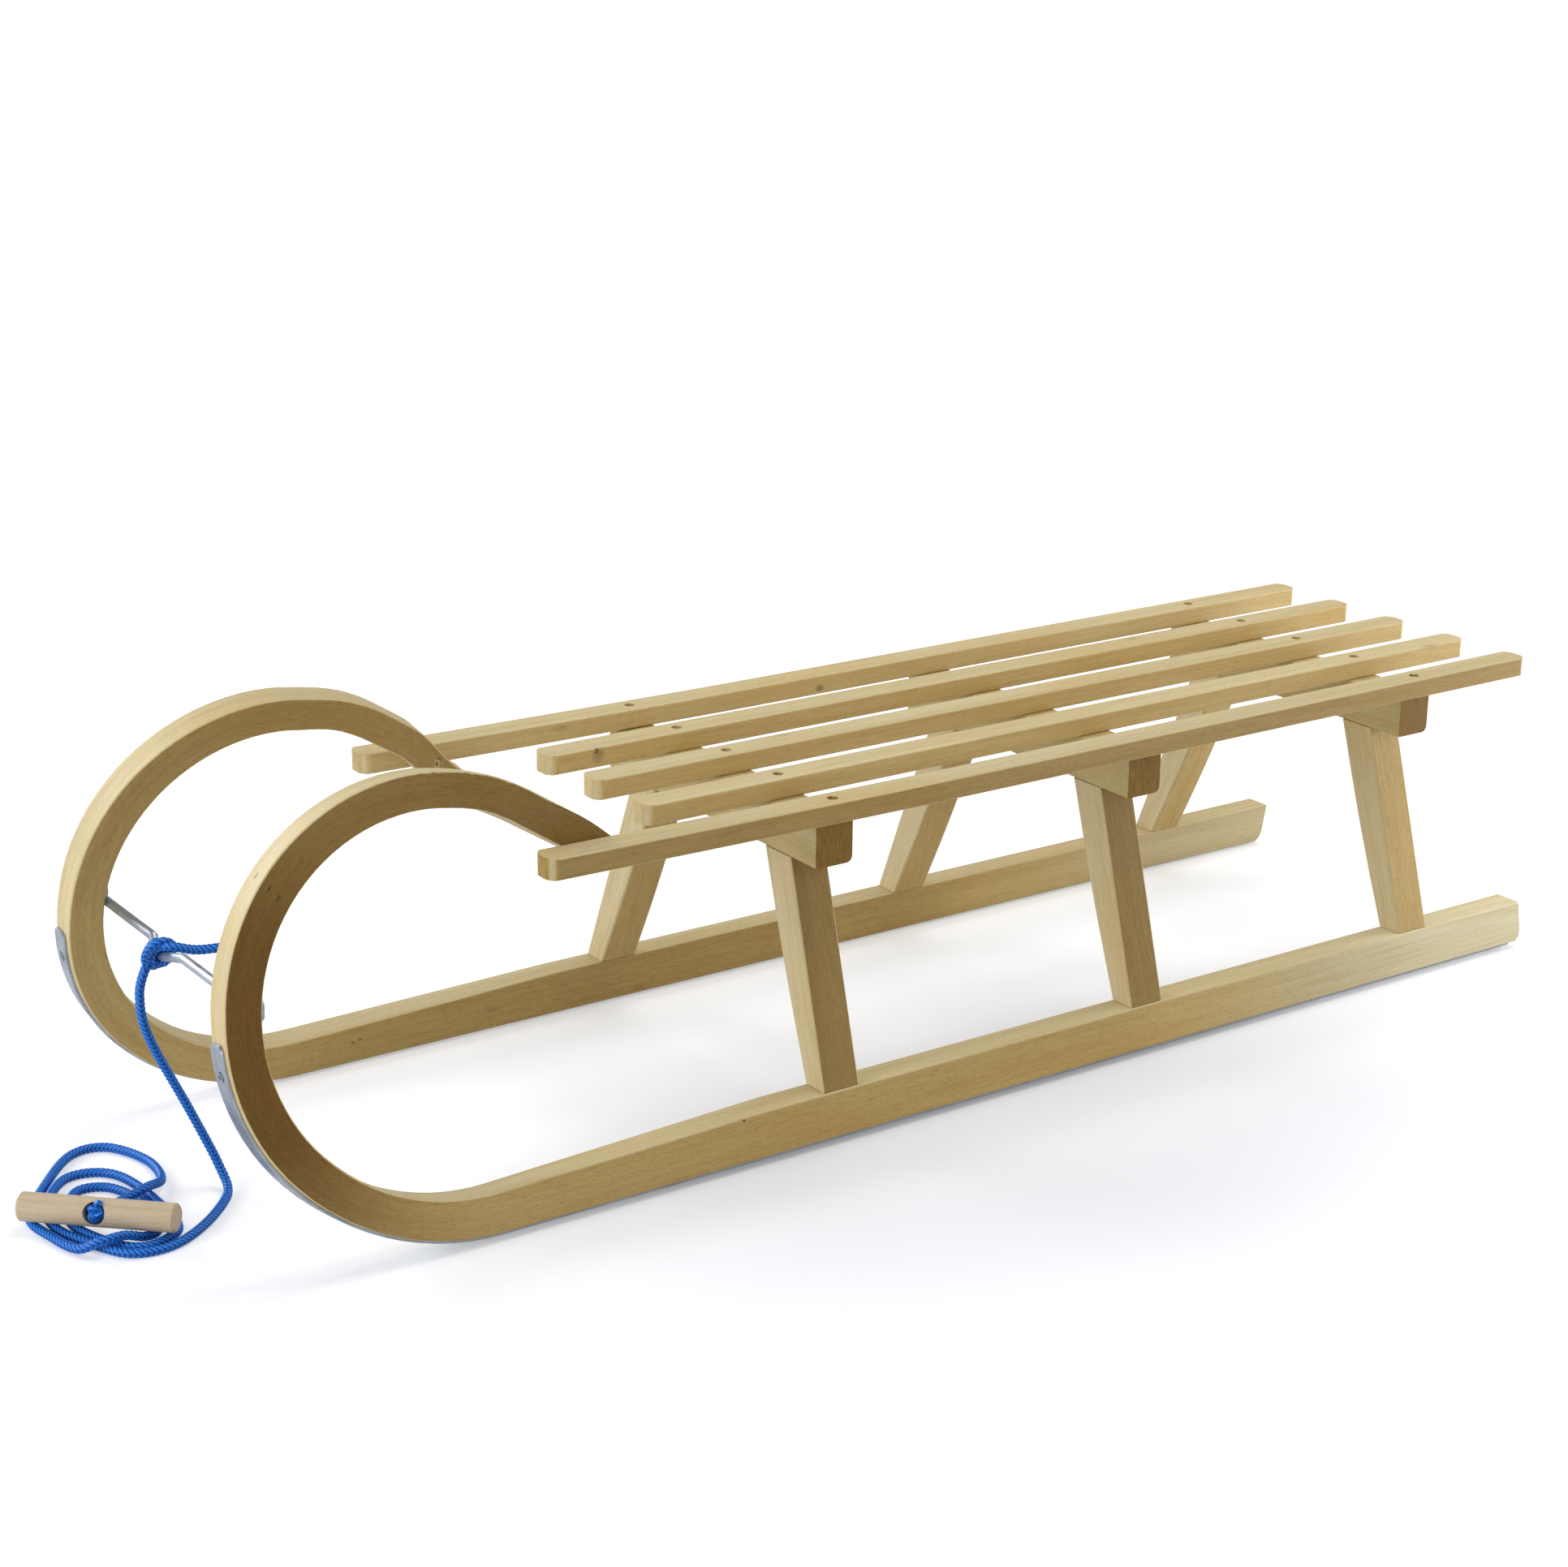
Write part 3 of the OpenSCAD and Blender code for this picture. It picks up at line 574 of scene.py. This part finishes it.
def braided(route, diameter, step=0.45, sides=24, low=0.0):
    """A braided rope: a grid rolled up round a route's curve, with its stitches pushed out. All in mm."""
    rope = bpy.context.scene.sled_rope
    pitch = rope.stitch_pitch / MM
    line, length = even_line(route, step, low)
    frames = carried_frames(line)
    mesh = bmesh.new()
    mesh.loops.layers.uv.new("rope")
    stitch = mesh.verts.layers.float.new("stitch")
    bmesh.ops.create_grid(mesh, x_segments=len(line) - 1, y_segments=sides, size=0.5, calc_uvs=True)
    for vert in mesh.verts:
        k = round((vert.co.x + 0.5) * (len(line) - 1))
        turn = (round((vert.co.y + 0.5) * sides) % sides) / sides
        vert[stitch] = stitch_height(length * k / (len(line) - 1), turn, rope.lanes, pitch)
        reach = diameter / 2 * (0.93 + 0.18 * vert[stitch])
        across, up = frames[k]
        angle = 2 * math.pi * turn
        vert.co = (line[k] + reach * (across * math.cos(angle) + up * math.sin(angle))) * MM
    bmesh.ops.remove_doubles(mesh, verts=mesh.verts[:], dist=1e-7)
    bmesh.ops.holes_fill(mesh, edges=[e for e in mesh.edges if e.is_boundary], sides=sides + 1)
    bmesh.ops.recalc_face_normals(mesh, faces=mesh.faces[:])
    return mesh, line, length


def on_runner(side, spot):
    """A place in a runner's own upright plane, moved to where the runner stands and leans."""
    x, u, z = spot
    y = u * math.cos(RUNNER_LEAN) - z * math.sin(RUNNER_LEAN) + RUNNER_Y
    return Vector((x, side * y, u * math.sin(RUNNER_LEAN) + z * math.cos(RUNNER_LEAN)
                   + RUNNER_W / 2 * math.sin(RUNNER_LEAN)))


def curl_parts():
    """The curl's arcs: middle x and z, radius, heading at the start and end, and length so far."""
    parts, heading, start = [], 0.0, CURL_X
    x, z = CURL_X, CURL_ARCS[0][0]
    for i, (radius, angle) in enumerate(CURL_ARCS):
        if i:
            x += (CURL_ARCS[i - 1][0] - radius) * math.sin(heading)
            z -= (CURL_ARCS[i - 1][0] - radius) * math.cos(heading)
        parts.append((x, z, radius, heading, heading + math.radians(angle), start))
        heading += math.radians(angle)
        start += radius * math.radians(angle)
    return parts


def along_bend(spot, side):
    """A runner vertex's place along the bent wood, across it, and in from the sole, in mm."""
    y = side * spot.y / MM - RUNNER_Y
    z = spot.z / MM - RUNNER_W / 2 * math.sin(RUNNER_LEAN)
    x = spot.x / MM
    u = y * math.cos(RUNNER_LEAN) + z * math.sin(RUNNER_LEAN)
    v = -y * math.sin(RUNNER_LEAN) + z * math.cos(RUNNER_LEAN)
    if x <= CURL_X and v < 90:
        return Vector((x, u, v))
    parts = curl_parts()
    for mx, mz, radius, first, last, start in parts:
        heading = math.atan2(x - mx, mz - v) % (2 * math.pi)
        if first <= heading <= last:
            return Vector((start + radius * (heading - first), u, radius - math.hypot(x - mx, v - mz)))
    mx, mz, radius, first, last, start = parts[-1]
    end = (mx + radius * math.sin(last), mz - radius * math.cos(last))
    dx, dz = x - end[0], v - end[1]
    return Vector((start + radius * (last - first) + dx * math.cos(last) + dz * math.sin(last), u,
                   -dx * math.sin(last) + dz * math.cos(last)))


def at_bend(place, side):
    """Where a place along the bent wood, across it, and in from the sole stands, in mm."""
    s, u, n = place
    if s <= CURL_X:
        return on_runner(side, (s, u, n))
    for mx, mz, radius, first, last, start in curl_parts():
        heading = first + (s - start) / radius
        if heading <= last:
            break
    past = max(0.0, heading - last) * radius
    heading = min(heading, last)
    return on_runner(side, (mx + (radius - n) * math.sin(heading) + past * math.cos(heading), u,
                            mz - (radius - n) * math.cos(heading) + past * math.sin(heading)))


def on_sole(arc, heading, n):
    """A place on a runner's curl at a heading in degrees, n mm in from the sole."""
    mx, mz, radius = curl_parts()[arc][:3]
    h = math.radians(heading)
    return mx + (radius - n) * math.sin(h), mz - (radius - n) * math.cos(h)


def screw(mesh, spot, way, radius, rise, crown, shank, length):
    """A screw with a crowned or countersunk head with a cross recess, its top at spot, facing way, on a
    shank. All in mm."""
    edge_loops = []
    neck, rim, brow = (-rise - 0.6, -rise, -0.35 * rise) if crown else (-rise, 0.0, 0.0)
    for reach, height in ((shank, -length), (shank, neck), (radius, rim), (radius, brow),
                          (radius * 0.82, 0.0)):
        made = bmesh.ops.create_circle(mesh, segments=24, radius=reach)
        for vert in made["verts"]:
            vert.co.z = height
        edge_loops.append(made["verts"])
    arm, half = radius * 0.56, radius * 0.13
    cross = []
    for depth, grow in ((0.0, 1.0), (-1.4, 0.72)):
        made = bmesh.ops.create_circle(mesh, segments=24, radius=1.0)
        ordered = sorted(made["verts"], key=lambda v: math.atan2(v.co.y, v.co.x) % (2 * math.pi))
        for k, vert in enumerate(ordered):
            quarter, part = divmod(k, 6)
            x, y = ((arm, 0), (arm, half), ((arm + half) / 2, half), (half, half), (half, (arm + half) / 2),
                    (half, arm))[part]
            a = quarter * math.pi / 2
            vert.co = Vector((grow * (x * math.cos(a) - y * math.sin(a)),
                              grow * (x * math.sin(a) + y * math.cos(a)), depth))
        cross.append(ordered)
    rings = [sorted(r, key=lambda v: math.atan2(v.co.y, v.co.x) % (2 * math.pi)) for r in edge_loops] + cross
    for a, b in zip(rings, rings[1:]):
        for k in range(24):
            mesh.faces.new((a[k], a[(k + 1) % 24], b[(k + 1) % 24], b[k]))
    mesh.faces.new(list(reversed(rings[0])))
    mesh.faces.new(rings[-1])
    turn = Vector((0, 0, 1)).rotation_difference(Vector(way)).to_matrix().to_4x4()
    verts = [v for r in rings for v in r]
    bmesh.ops.transform(mesh, matrix=Matrix.Scale(MM, 4) @ Matrix.Translation(spot) @ turn, verts=verts)


# Operators

class SLED_OT_camera(bpy.types.Operator):
    """Places the camera in front of the horns, a little above and to the sled's left"""
    bl_idname = "sled.camera"
    bl_label = "Camera"

    def execute(self, context):
        lens = context.scene.sled_stage.lens
        camera = bpy.data.cameras.new("camera")
        camera.lens, camera.sensor_width, camera.clip_end = lens, 36.0, 100.0
        made = bpy.data.objects.new("camera", camera)
        context.scene.collection.objects.link(made)
        yaw, pitch, roll = (math.radians(a) for a in CAMERA_TURN)
        ahead = Vector((math.cos(pitch) * math.cos(yaw), math.cos(pitch) * math.sin(yaw), math.sin(pitch)))
        right = ahead.cross(Vector((0, 0, 1))).normalized()
        up = right.cross(ahead)
        right, up = (right * math.cos(roll) + up * math.sin(roll),
                     up * math.cos(roll) - right * math.sin(roll))
        turn = Matrix((right, up, -ahead)).transposed().to_4x4()
        made.matrix_world = Matrix.Translation(CAMERA_AT) @ turn
        context.scene.camera = made
        return {"FINISHED"}


class SLED_OT_knots(bpy.types.Operator):
    """Ties the rope's hitch round the pull bar, and the stopper knot in the handle's pocket"""
    bl_idname = "sled.knots"
    bl_label = "Knots"

    def execute(self, context):
        diameter = context.scene.sled_rope.rope_d / MM
        hitch = []
        for y, turn, reach in HITCH_TURNS:
            a = math.radians(turn)
            hitch.append((DIP_X + reach * math.cos(a), y, DIP_Z + reach * math.sin(a)))
        mesh, _, _ = braided(hitch, diameter)
        finished("hitch_knot", mesh, [braid()], "rope_hitch", None)
        # the stopper knot is a small overhand knot, with its tip turned up out of the pocket
        knot = []
        for k in range(-1, 13):
            t = 2 * math.pi * (k / 14.0) + 0.5
            knot.append((1.4 * (math.sin(t) + 2 * math.sin(2 * t)), 1.4 * (math.cos(t) - 2 * math.cos(2 * t)),
                         2.8 * math.sin(3 * t)))
        knot = [(0.0, 0.0, -6.0)] + knot + [(2.2, 5.0, 3.0), (1.8, 7.0, 5.0)]
        mesh, _, _ = braided(knot, 0.88 * diameter, step=0.35, sides=20, low=-50.0)
        turn = Matrix.Rotation(math.radians(HANDLE_TURN), 4, "Z") @ Matrix.Rotation(
            math.radians(90 - HOLE_TILT), 4, "X")
        depth = Matrix.Translation((0, 0, 4.3 * MM))
        bmesh.ops.transform(mesh, matrix=Matrix.Translation(Vector(HANDLE_MID) * MM) @ turn @ depth,
                            verts=mesh.verts[:])
        finished("stopper_knot_rope", mesh, [braid()], "stopper_knot", None)
        return {"FINISHED"}


class SLED_OT_rope(bpy.types.Operator):
    """Lays the tow rope from the hitch to the handle, and the short end out of the hitch"""
    bl_idname = "sled.rope"
    bl_label = "Tow rope"

    def execute(self, context):
        diameter = context.scene.sled_rope.rope_d / MM
        for name, route, cad, low, end, pieces in (
                ("braided_tow_rope", TOW_ROUTE, "tow_rope", diameter / 2, "knot",
                 ["tow_handle_beech", "stopper_knot_rope"]),
                ("braided_rope_end", TAIL_ROUTE, "rope_tail", 0.0, "bare", [])):
            mesh, line, length = braided(route, diameter, low=low)
            rope = finished(name, mesh, [braid()], cad, None)
        return {"FINISHED"}


class SLED_OT_runners(bpy.types.Operator):
    """Gives each bent runner its beech, with the grain running round the horn"""
    bl_idname = "sled.runners"
    bl_label = "Runners"

    @staticmethod
    def swell(mesh, side):
        """Notes how far along the grain each place is, and rounds out the horn's last stretch."""
        most, share, low, high = TAIL_SWELL[side]
        mx, mz, radius, first, last, start = curl_parts()[-1]
        end = start + radius * (last - first)
        for s in range(*TAIL_SLICES):
            spot = at_bend((end + s, 0, 0), side)
            near = [v for v in mesh.verts if (v.co / MM - spot).length < 160 and v.co.z > 200 * MM]
            edges = list({e for v in near for e in v.link_edges})
            faces = list({f for v in near for f in v.link_faces})
            bmesh.ops.bisect_plane(mesh, geom=near + edges + faces, plane_co=spot * MM,
                                   plane_no=at_bend((end + s + 0.5, 0, 0), side) - spot)
        grain = mesh.verts.layers.float_vector.new("grain")
        for vert in mesh.verts:
            place = along_bend(vert.co, side)
            vert[grain] = place * MM
            s = place.x - end
            if s > TAIL_SLICES[0] - 1:
                place.z -= most * (eased(s, *TAIL_RISE) - share * eased(s, low, high))
                vert.co = at_bend(place, side) * MM

    @staticmethod
    def saw_level(mesh):
        """Saws the horn's end level under the seat, and closes the cut."""
        low, high = TAIL_X
        tail = [v for v in mesh.verts if low * MM < v.co.x < high * MM and v.co.z > TAIL_OVER * MM]
        edges = {e for v in tail for e in v.link_edges}
        faces = {f for v in tail for f in v.link_faces}
        cut = bmesh.ops.bisect_plane(mesh, geom=tail + list(edges) + list(faces),
                                     plane_co=(0, 0, SAWN_Z * MM), plane_no=(0, 0, -1), clear_outer=True)
        bmesh.ops.edgenet_fill(mesh, edges=[e for e in cut["geom_cut"] if isinstance(e, bmesh.types.BMEdge)])

    def execute(self, context):
        for side, hand in ((1, "left"), (-1, "right")):
            cad = f"runner_{hand}"
            mesh = merged_copy(cad)
            self.swell(mesh, side)
            self.saw_level(mesh)
            for face in mesh.faces:
                across = all(v.co.x < (RUNNER_REAR + 1) * MM for v in face.verts)
                face.material_index = 1 if across else 0
            shift = (0.37 if side == 1 else 1.21, 0.0, 0.15 * side)
            # the beech carries painted shade on the runner's cheeks, and on the left runner painted light at
            # its rear
            finished(f"{cad}_beech", mesh, [
                beech(f"bent_beech_{hand}", shift=shift, knots=0.3, grain="grain", end=0.0,
                      painted_shading=RUNNER_PAINTED_SHADING[side], marks=RUNNER_MARKS[side]),
                beech(f"runner_end_{hand}", shift=shift, grain="grain", end=1.0)], cad, 50.0)
        return {"FINISHED"}


class SLED_OT_frame(bpy.types.Operator):
    """Gives the bearers and legs their beech, with eased edges"""
    bl_idname = "sled.frame"
    bl_label = "Bearers and legs"

    def execute(self, context):
        ease = context.scene.sled_wood.ease
        splay = math.radians(LEG_SPLAY)
        for n, place in enumerate(("front", "middle", "rear")):
            cad = f"bearer_{place}"
            mesh = merged_copy(cad)
            ease_edges(mesh, ease)
            # the bearers' beech is darker and yellower than the rest, a painted shade under the slats, and
            # their ends carry more painted shade
            finished(f"{cad}_beech", mesh, [
                beech(f"bearer_beech_{place}", (0, 0, math.pi / 2), (0.4 * n, 0.3, 0.17 * n), 0.82,
                      painted_shading=((BEARER_PAINTED_SHADE, *EVEN),), tint=(1.0, 0.96, 0.76))], cad)
            for side, hand in ((1, "left"), (-1, "right")):
                cad = f"leg_{place}_{hand}"
                # the legs' side faces carry painted shade, most on the left front and middle legs
                shade_amount = LEFT_LEG_PAINTED_SHADE[n] if side == 1 else RIGHT_LEG_PAINTED_SHADE
                mesh = merged_copy(cad)
                ease_edges(mesh, ease)
                finished(f"{cad}_beech", mesh, [
                    beech(f"leg_beech_{place}_{hand}", (-side * splay, math.pi / 2, 0),
                          (0.23 * n, 0.11 * side, 0.31 * n), 0.98, 0.3, painted_shading=((shade_amount, *EVEN),))], cad)
        return {"FINISHED"}


class SLED_OT_slats(bpy.types.Operator):
    """Gives the five seat slats their beech, each cut from its own board"""
    bl_idname = "sled.slats"
    bl_label = "Slats"

    @staticmethod
    def spring(mesh):
        """Springs an outer slat's front end up a little, as the horn that it is screwed to pulls it."""
        for x in range(SPRING_X, SPRING_L, 20):
            bmesh.ops.bisect_plane(mesh, geom=mesh.verts[:] + mesh.edges[:] + mesh.faces[:],
                                   plane_co=(x * MM, 0, 0), plane_no=(1, 0, 0))
        for vert in mesh.verts:
            reach = max(0.0, vert.co.x / MM - SPRING_X) / SPRING_L
            vert.co.z += SPRING_UP * MM * reach ** SPRING_POWER

    def execute(self, context):
        for k, (tone, shade_amount, ends) in enumerate(zip(SLAT_TONE, SLAT_PAINTED_SHADE, SLAT_ENDS), 1):
            cad = f"slat_{k}"
            mesh = merged_copy(cad)
            ease_edges(mesh, 2.0 * context.scene.sled_wood.ease)
            if k in (1, 5):
                self.spring(mesh)
            # each slat's side faces carry painted shade, most on slat 5 and least on slat 1
            finished(f"{cad}_beech", mesh, [
                beech(f"slat_beech_{k}", shift=(0.71 * k, 0.13 * k, 0.29 * k), tone=tone, knots=0.4,
                      painted_shading=((shade_amount, *EVEN),), marks=SLAT_MARKS.get(k, ()), ends=ends)], cad)
        return {"FINISHED"}


class SLED_OT_handle(bpy.types.Operator):
    """Gives the dowel handle its beech and its softly chamfered ends"""
    bl_idname = "sled.handle"
    bl_label = "Handle"

    def execute(self, context):
        mesh = merged_copy("tow_handle")
        ease_edges(mesh, context.scene.sled_wood.ease, 30.0)
        finished("tow_handle_beech", mesh, [
            beech("handle_beech", (0, 0, -math.radians(HANDLE_TURN)), (0.4, 0.2, 0.6), 0.93,
                  end=0.0, tint=(1.0, 0.97, 1.2))], "tow_handle", 30.0)
        return {"FINISHED"}


class SLED_OT_steelwork(bpy.types.Operator):
    """Gives the shoes, the pull bar and the nails their steel"""
    bl_idname = "sled.steelwork"
    bl_label = "Steelwork"

    @staticmethod
    def fit_shoe(mesh, side):
        """Eases a shoe's edges, and makes it narrower than its runner, as far out as it sits."""
        ease_edges(mesh, 0.0003, 60.0, flat=False)
        share, out = SHOE_FIT[side]
        for vert in mesh.verts:
            place = along_bend(vert.co, side)
            place.y = share * place.y + out
            if side == -1:
                place.x -= SHOE_BACK * eased(place.x, *SHOE_BACK_AT)
            vert.co = at_bend(place, side) * MM

    def execute(self, context):
        look = context.scene.sled_steel
        shoe = steel("shoe_steel_worn", look.zinc, 1.0, 0.72, 0.30)
        bar = steel("bar_steel_plated", look.zinc, 1.05, 0.75, 0.36)
        nail = steel("nail_steel_dull", look.nail, 1.0, 0.5, 0.45, 0.6)
        for cad, slot, finish, side in (
                ("runner_shoe_left", "shoe_steel", shoe, 1), ("runner_shoe_right", "shoe_steel", shoe, -1),
                ("pull_bar", "bar_steel", bar, 0), ("tenon_nails", "nail_steel", nail, 0)):
            mesh = merged_copy(cad)
            if side:
                self.fit_shoe(mesh, side)
            finished(f"{cad}_plated", mesh, [finish], cad, 32.0)
        return {"FINISHED"}


class SLED_OT_screws(bpy.types.Operator):
    """Drives the screws: slats to bearers, horns to slats, shoes to runners and the bar to the horns"""
    bl_idname = "sled.screws"
    bl_label = "Screws"

    @staticmethod
    def aimed(side, out, spot):
        """A screw's top on a runner, so far out, and the way it faces: towards a second x and z."""
        x, z, to_x, to_z = spot
        top = on_runner(side, (x, out, z))
        return top, (on_runner(side, (to_x, out, to_z)) - top).normalized()

    def execute(self, context):
        look = context.scene.sled_steel
        yellow = steel("screw_yellow_zinc", look.yellow_zinc, 1.0, 0.7, 0.25)
        bright = steel("screw_bright_zinc", look.zinc, 1.0, 0.7, 0.22)
        slats = [(Vector((x, y, SEAT_Z - SLAT_SCREW_DEEP)), Vector((0, 0, 1)))
                 for x in BEARERS_X for y in SLATS_Y]
        x, y, z = HORN_SCREW
        horns = [(Vector((x, side * y, z)), Vector((0, -side, 0))) for side in (1, -1)]
        shoes, bars = [], []
        for side in (1, -1):
            turn, out = SHOE_SCREW_TURN - SHOE_SCREW_BACK[side], SHOE_FIT[side][1]
            spots = [(x, 0.0, x, -1.0) for x in SHOE_SCREWS_X]
            spots.append((*on_sole(1, turn, -SHOE_SCREW_OUT), *on_sole(1, turn, -SHOE_SCREW_OUT - 1)))
            shoes += [self.aimed(side, out, spot) for spot in spots]
            over = HORN_T + BAR_SCREW_OUT
            bars.append(self.aimed(side, 0, (*on_sole(1, BAR_TURN, over), *on_sole(1, BAR_TURN, over + 1))))
        for name, cad, slot, finish, places, radius, rise, crown, length in (
                ("slat_screw_heads", "slat_screws", "slat_screw_steel", yellow, slats, 3.7, 2.9, True, 30),
                ("horn_screw_heads", "horn_screws", "horn_screw_steel", yellow, horns, 3.5, 3.2, False, 29),
                ("shoe_screw_heads", "shoe_screws", "screw_steel", bright, shoes, 3.5, 2.4, False, 15),
                ("bar_screw_heads", "pull_bar_screws", "screw_steel", bright, bars, 4.0, 2.9, True, 16)):
            mesh = bmesh.new()
            for top, way in places:
                screw(mesh, top, way, radius, rise, crown, SHANK, length)
            bmesh.ops.recalc_face_normals(mesh, faces=mesh.faces[:])
            finished(name, mesh, [finish], cad, 30.0)
        return {"FINISHED"}


class SLED_OT_stage(bpy.types.Operator):
    """Sets the pale floor, the soft lamps and the even light from all round"""
    bl_idname = "sled.stage"
    bl_label = "Stage"

    def execute(self, context):
        look = context.scene.sled_stage
        context.scene.view_settings.view_transform = "Standard"
        mesh = bmesh.new()
        bmesh.ops.create_grid(mesh, x_segments=1, y_segments=1, size=60.0)
        data = bpy.data.meshes.new("floor")
        mesh.to_mesh(data)
        mesh.free()
        floor = bpy.data.objects.new("floor", data)
        context.scene.collection.objects.link(floor)
        made, tree, shader = new_material("pale_floor")
        shader.inputs["Base Color"].default_value = (0.69, 0.705, 0.735, 1.0)
        shader.inputs["Roughness"].default_value = 0.9
        shader.inputs["Specular IOR Level"].default_value = 0.0
        seen = shader_node(tree, "LightPath").outputs["Is Camera Ray"]
        # the floor glows least beside the left runner, a painted shadow over the soft shadow that falls
        # there, and more further off, till it is white
        place = shader_node(tree, "TexCoord").outputs["Object"]
        reach = distance(tree, place, (0.0, 0.22, 0.0), (0.6, 1.0, 1.0))
        glow = 0.17
        for low, high, more in ((0.10, 0.32, 0.22), (0.45, 2.4, 0.65)):
            glow = maths(tree, "ADD", times(tree, spread(tree, reach, low, high), more), glow)
        shader.inputs["Emission Color"].default_value = (0.985, 0.99, 1.0, 1.0)
        tree.links.new(times(tree, seen, glow), shader.inputs["Emission Strength"])
        data.materials.append(made)
        world = bpy.data.worlds.new("even_light")
        world.use_nodes = True
        tree = world.node_tree
        seen = shader_node(tree, "LightPath").outputs["Is Camera Ray"]
        level = maths(tree, "ADD", times(tree, seen, 1.0 - look.sky), look.sky)
        tree.links.new(level, tree.nodes["Background"].inputs["Strength"])
        tree.nodes["Background"].inputs["Color"].default_value = (1.0, 1.0, 1.0, 1.0)
        context.scene.world = world
        aim = Vector((0.0, 0.0, 0.1))
        for name, power, size, spot in (
                ("front_lamp", look.front, 2.2, (2.8, 0.2, 0.75)),
                ("top_lamp", look.top, 2.0, (-0.8, 0.0, 2.6)),
                ("side_lamp", look.side, 1.6, (1.2, -2.4, 1.2)),
                ("fill_lamp", look.fill, 1.6, (0.2, 2.8, 1.6)),
                ("rear_lamp", look.rear, 0.5, (-1.4, 0.45, 0.35))):
            lamp = bpy.data.lights.new(name, "AREA")
            lamp.energy, lamp.shape, lamp.size = power, "DISK", size
            made = bpy.data.objects.new(name, lamp)
            made.visible_camera = False
            context.scene.collection.objects.link(made)
            turn = (Vector(spot) - aim).to_track_quat("Z", "Y").to_matrix().to_4x4()
            made.matrix_world = Matrix.Translation(spot) @ turn
        return {"FINISHED"}


class SLED_PT_panel(bpy.types.Panel):
    """The sled's settings and steps"""
    bl_label = "Sled"
    bl_idname = "SLED_PT_panel"
    bl_space_type = "VIEW_3D"
    bl_region_type = "UI"
    bl_category = "Sled"

    def draw(self, context):
        scene = context.scene
        for group in (scene.sled_rope, scene.sled_wood, scene.sled_steel, scene.sled_stage):
            for key in group.__annotations__:
                self.layout.prop(group, key)
        for step in STEPS:
            self.layout.operator(step.bl_idname)


STEPS = (SLED_OT_camera, SLED_OT_handle, SLED_OT_knots, SLED_OT_rope, SLED_OT_runners, SLED_OT_frame,
         SLED_OT_slats, SLED_OT_steelwork, SLED_OT_screws, SLED_OT_stage)
GROUPS = (("sled_rope", SledRope), ("sled_wood", SledWood), ("sled_steel", SledSteel),
          ("sled_stage", SledStage))


def register():
    """Registers the classes, and puts the settings on the scene."""
    for name, group in GROUPS:
        bpy.utils.register_class(group)
        setattr(bpy.types.Scene, name, bpy.props.PointerProperty(type=group))
    for step in STEPS + (SLED_PT_panel,):
        bpy.utils.register_class(step)


def unregister():
    """Takes the classes and settings away again."""
    for step in reversed(STEPS + (SLED_PT_panel,)):
        bpy.utils.unregister_class(step)
    for name, group in reversed(GROUPS):
        delattr(bpy.types.Scene, name)
        bpy.utils.unregister_class(group)


def main():
    """Builds the sled step by step."""
    register()
    for step in STEPS:
        area, name = step.bl_idname.split(".")
        getattr(getattr(bpy.ops, area), name)()


if __name__ == "__main__":
    main()
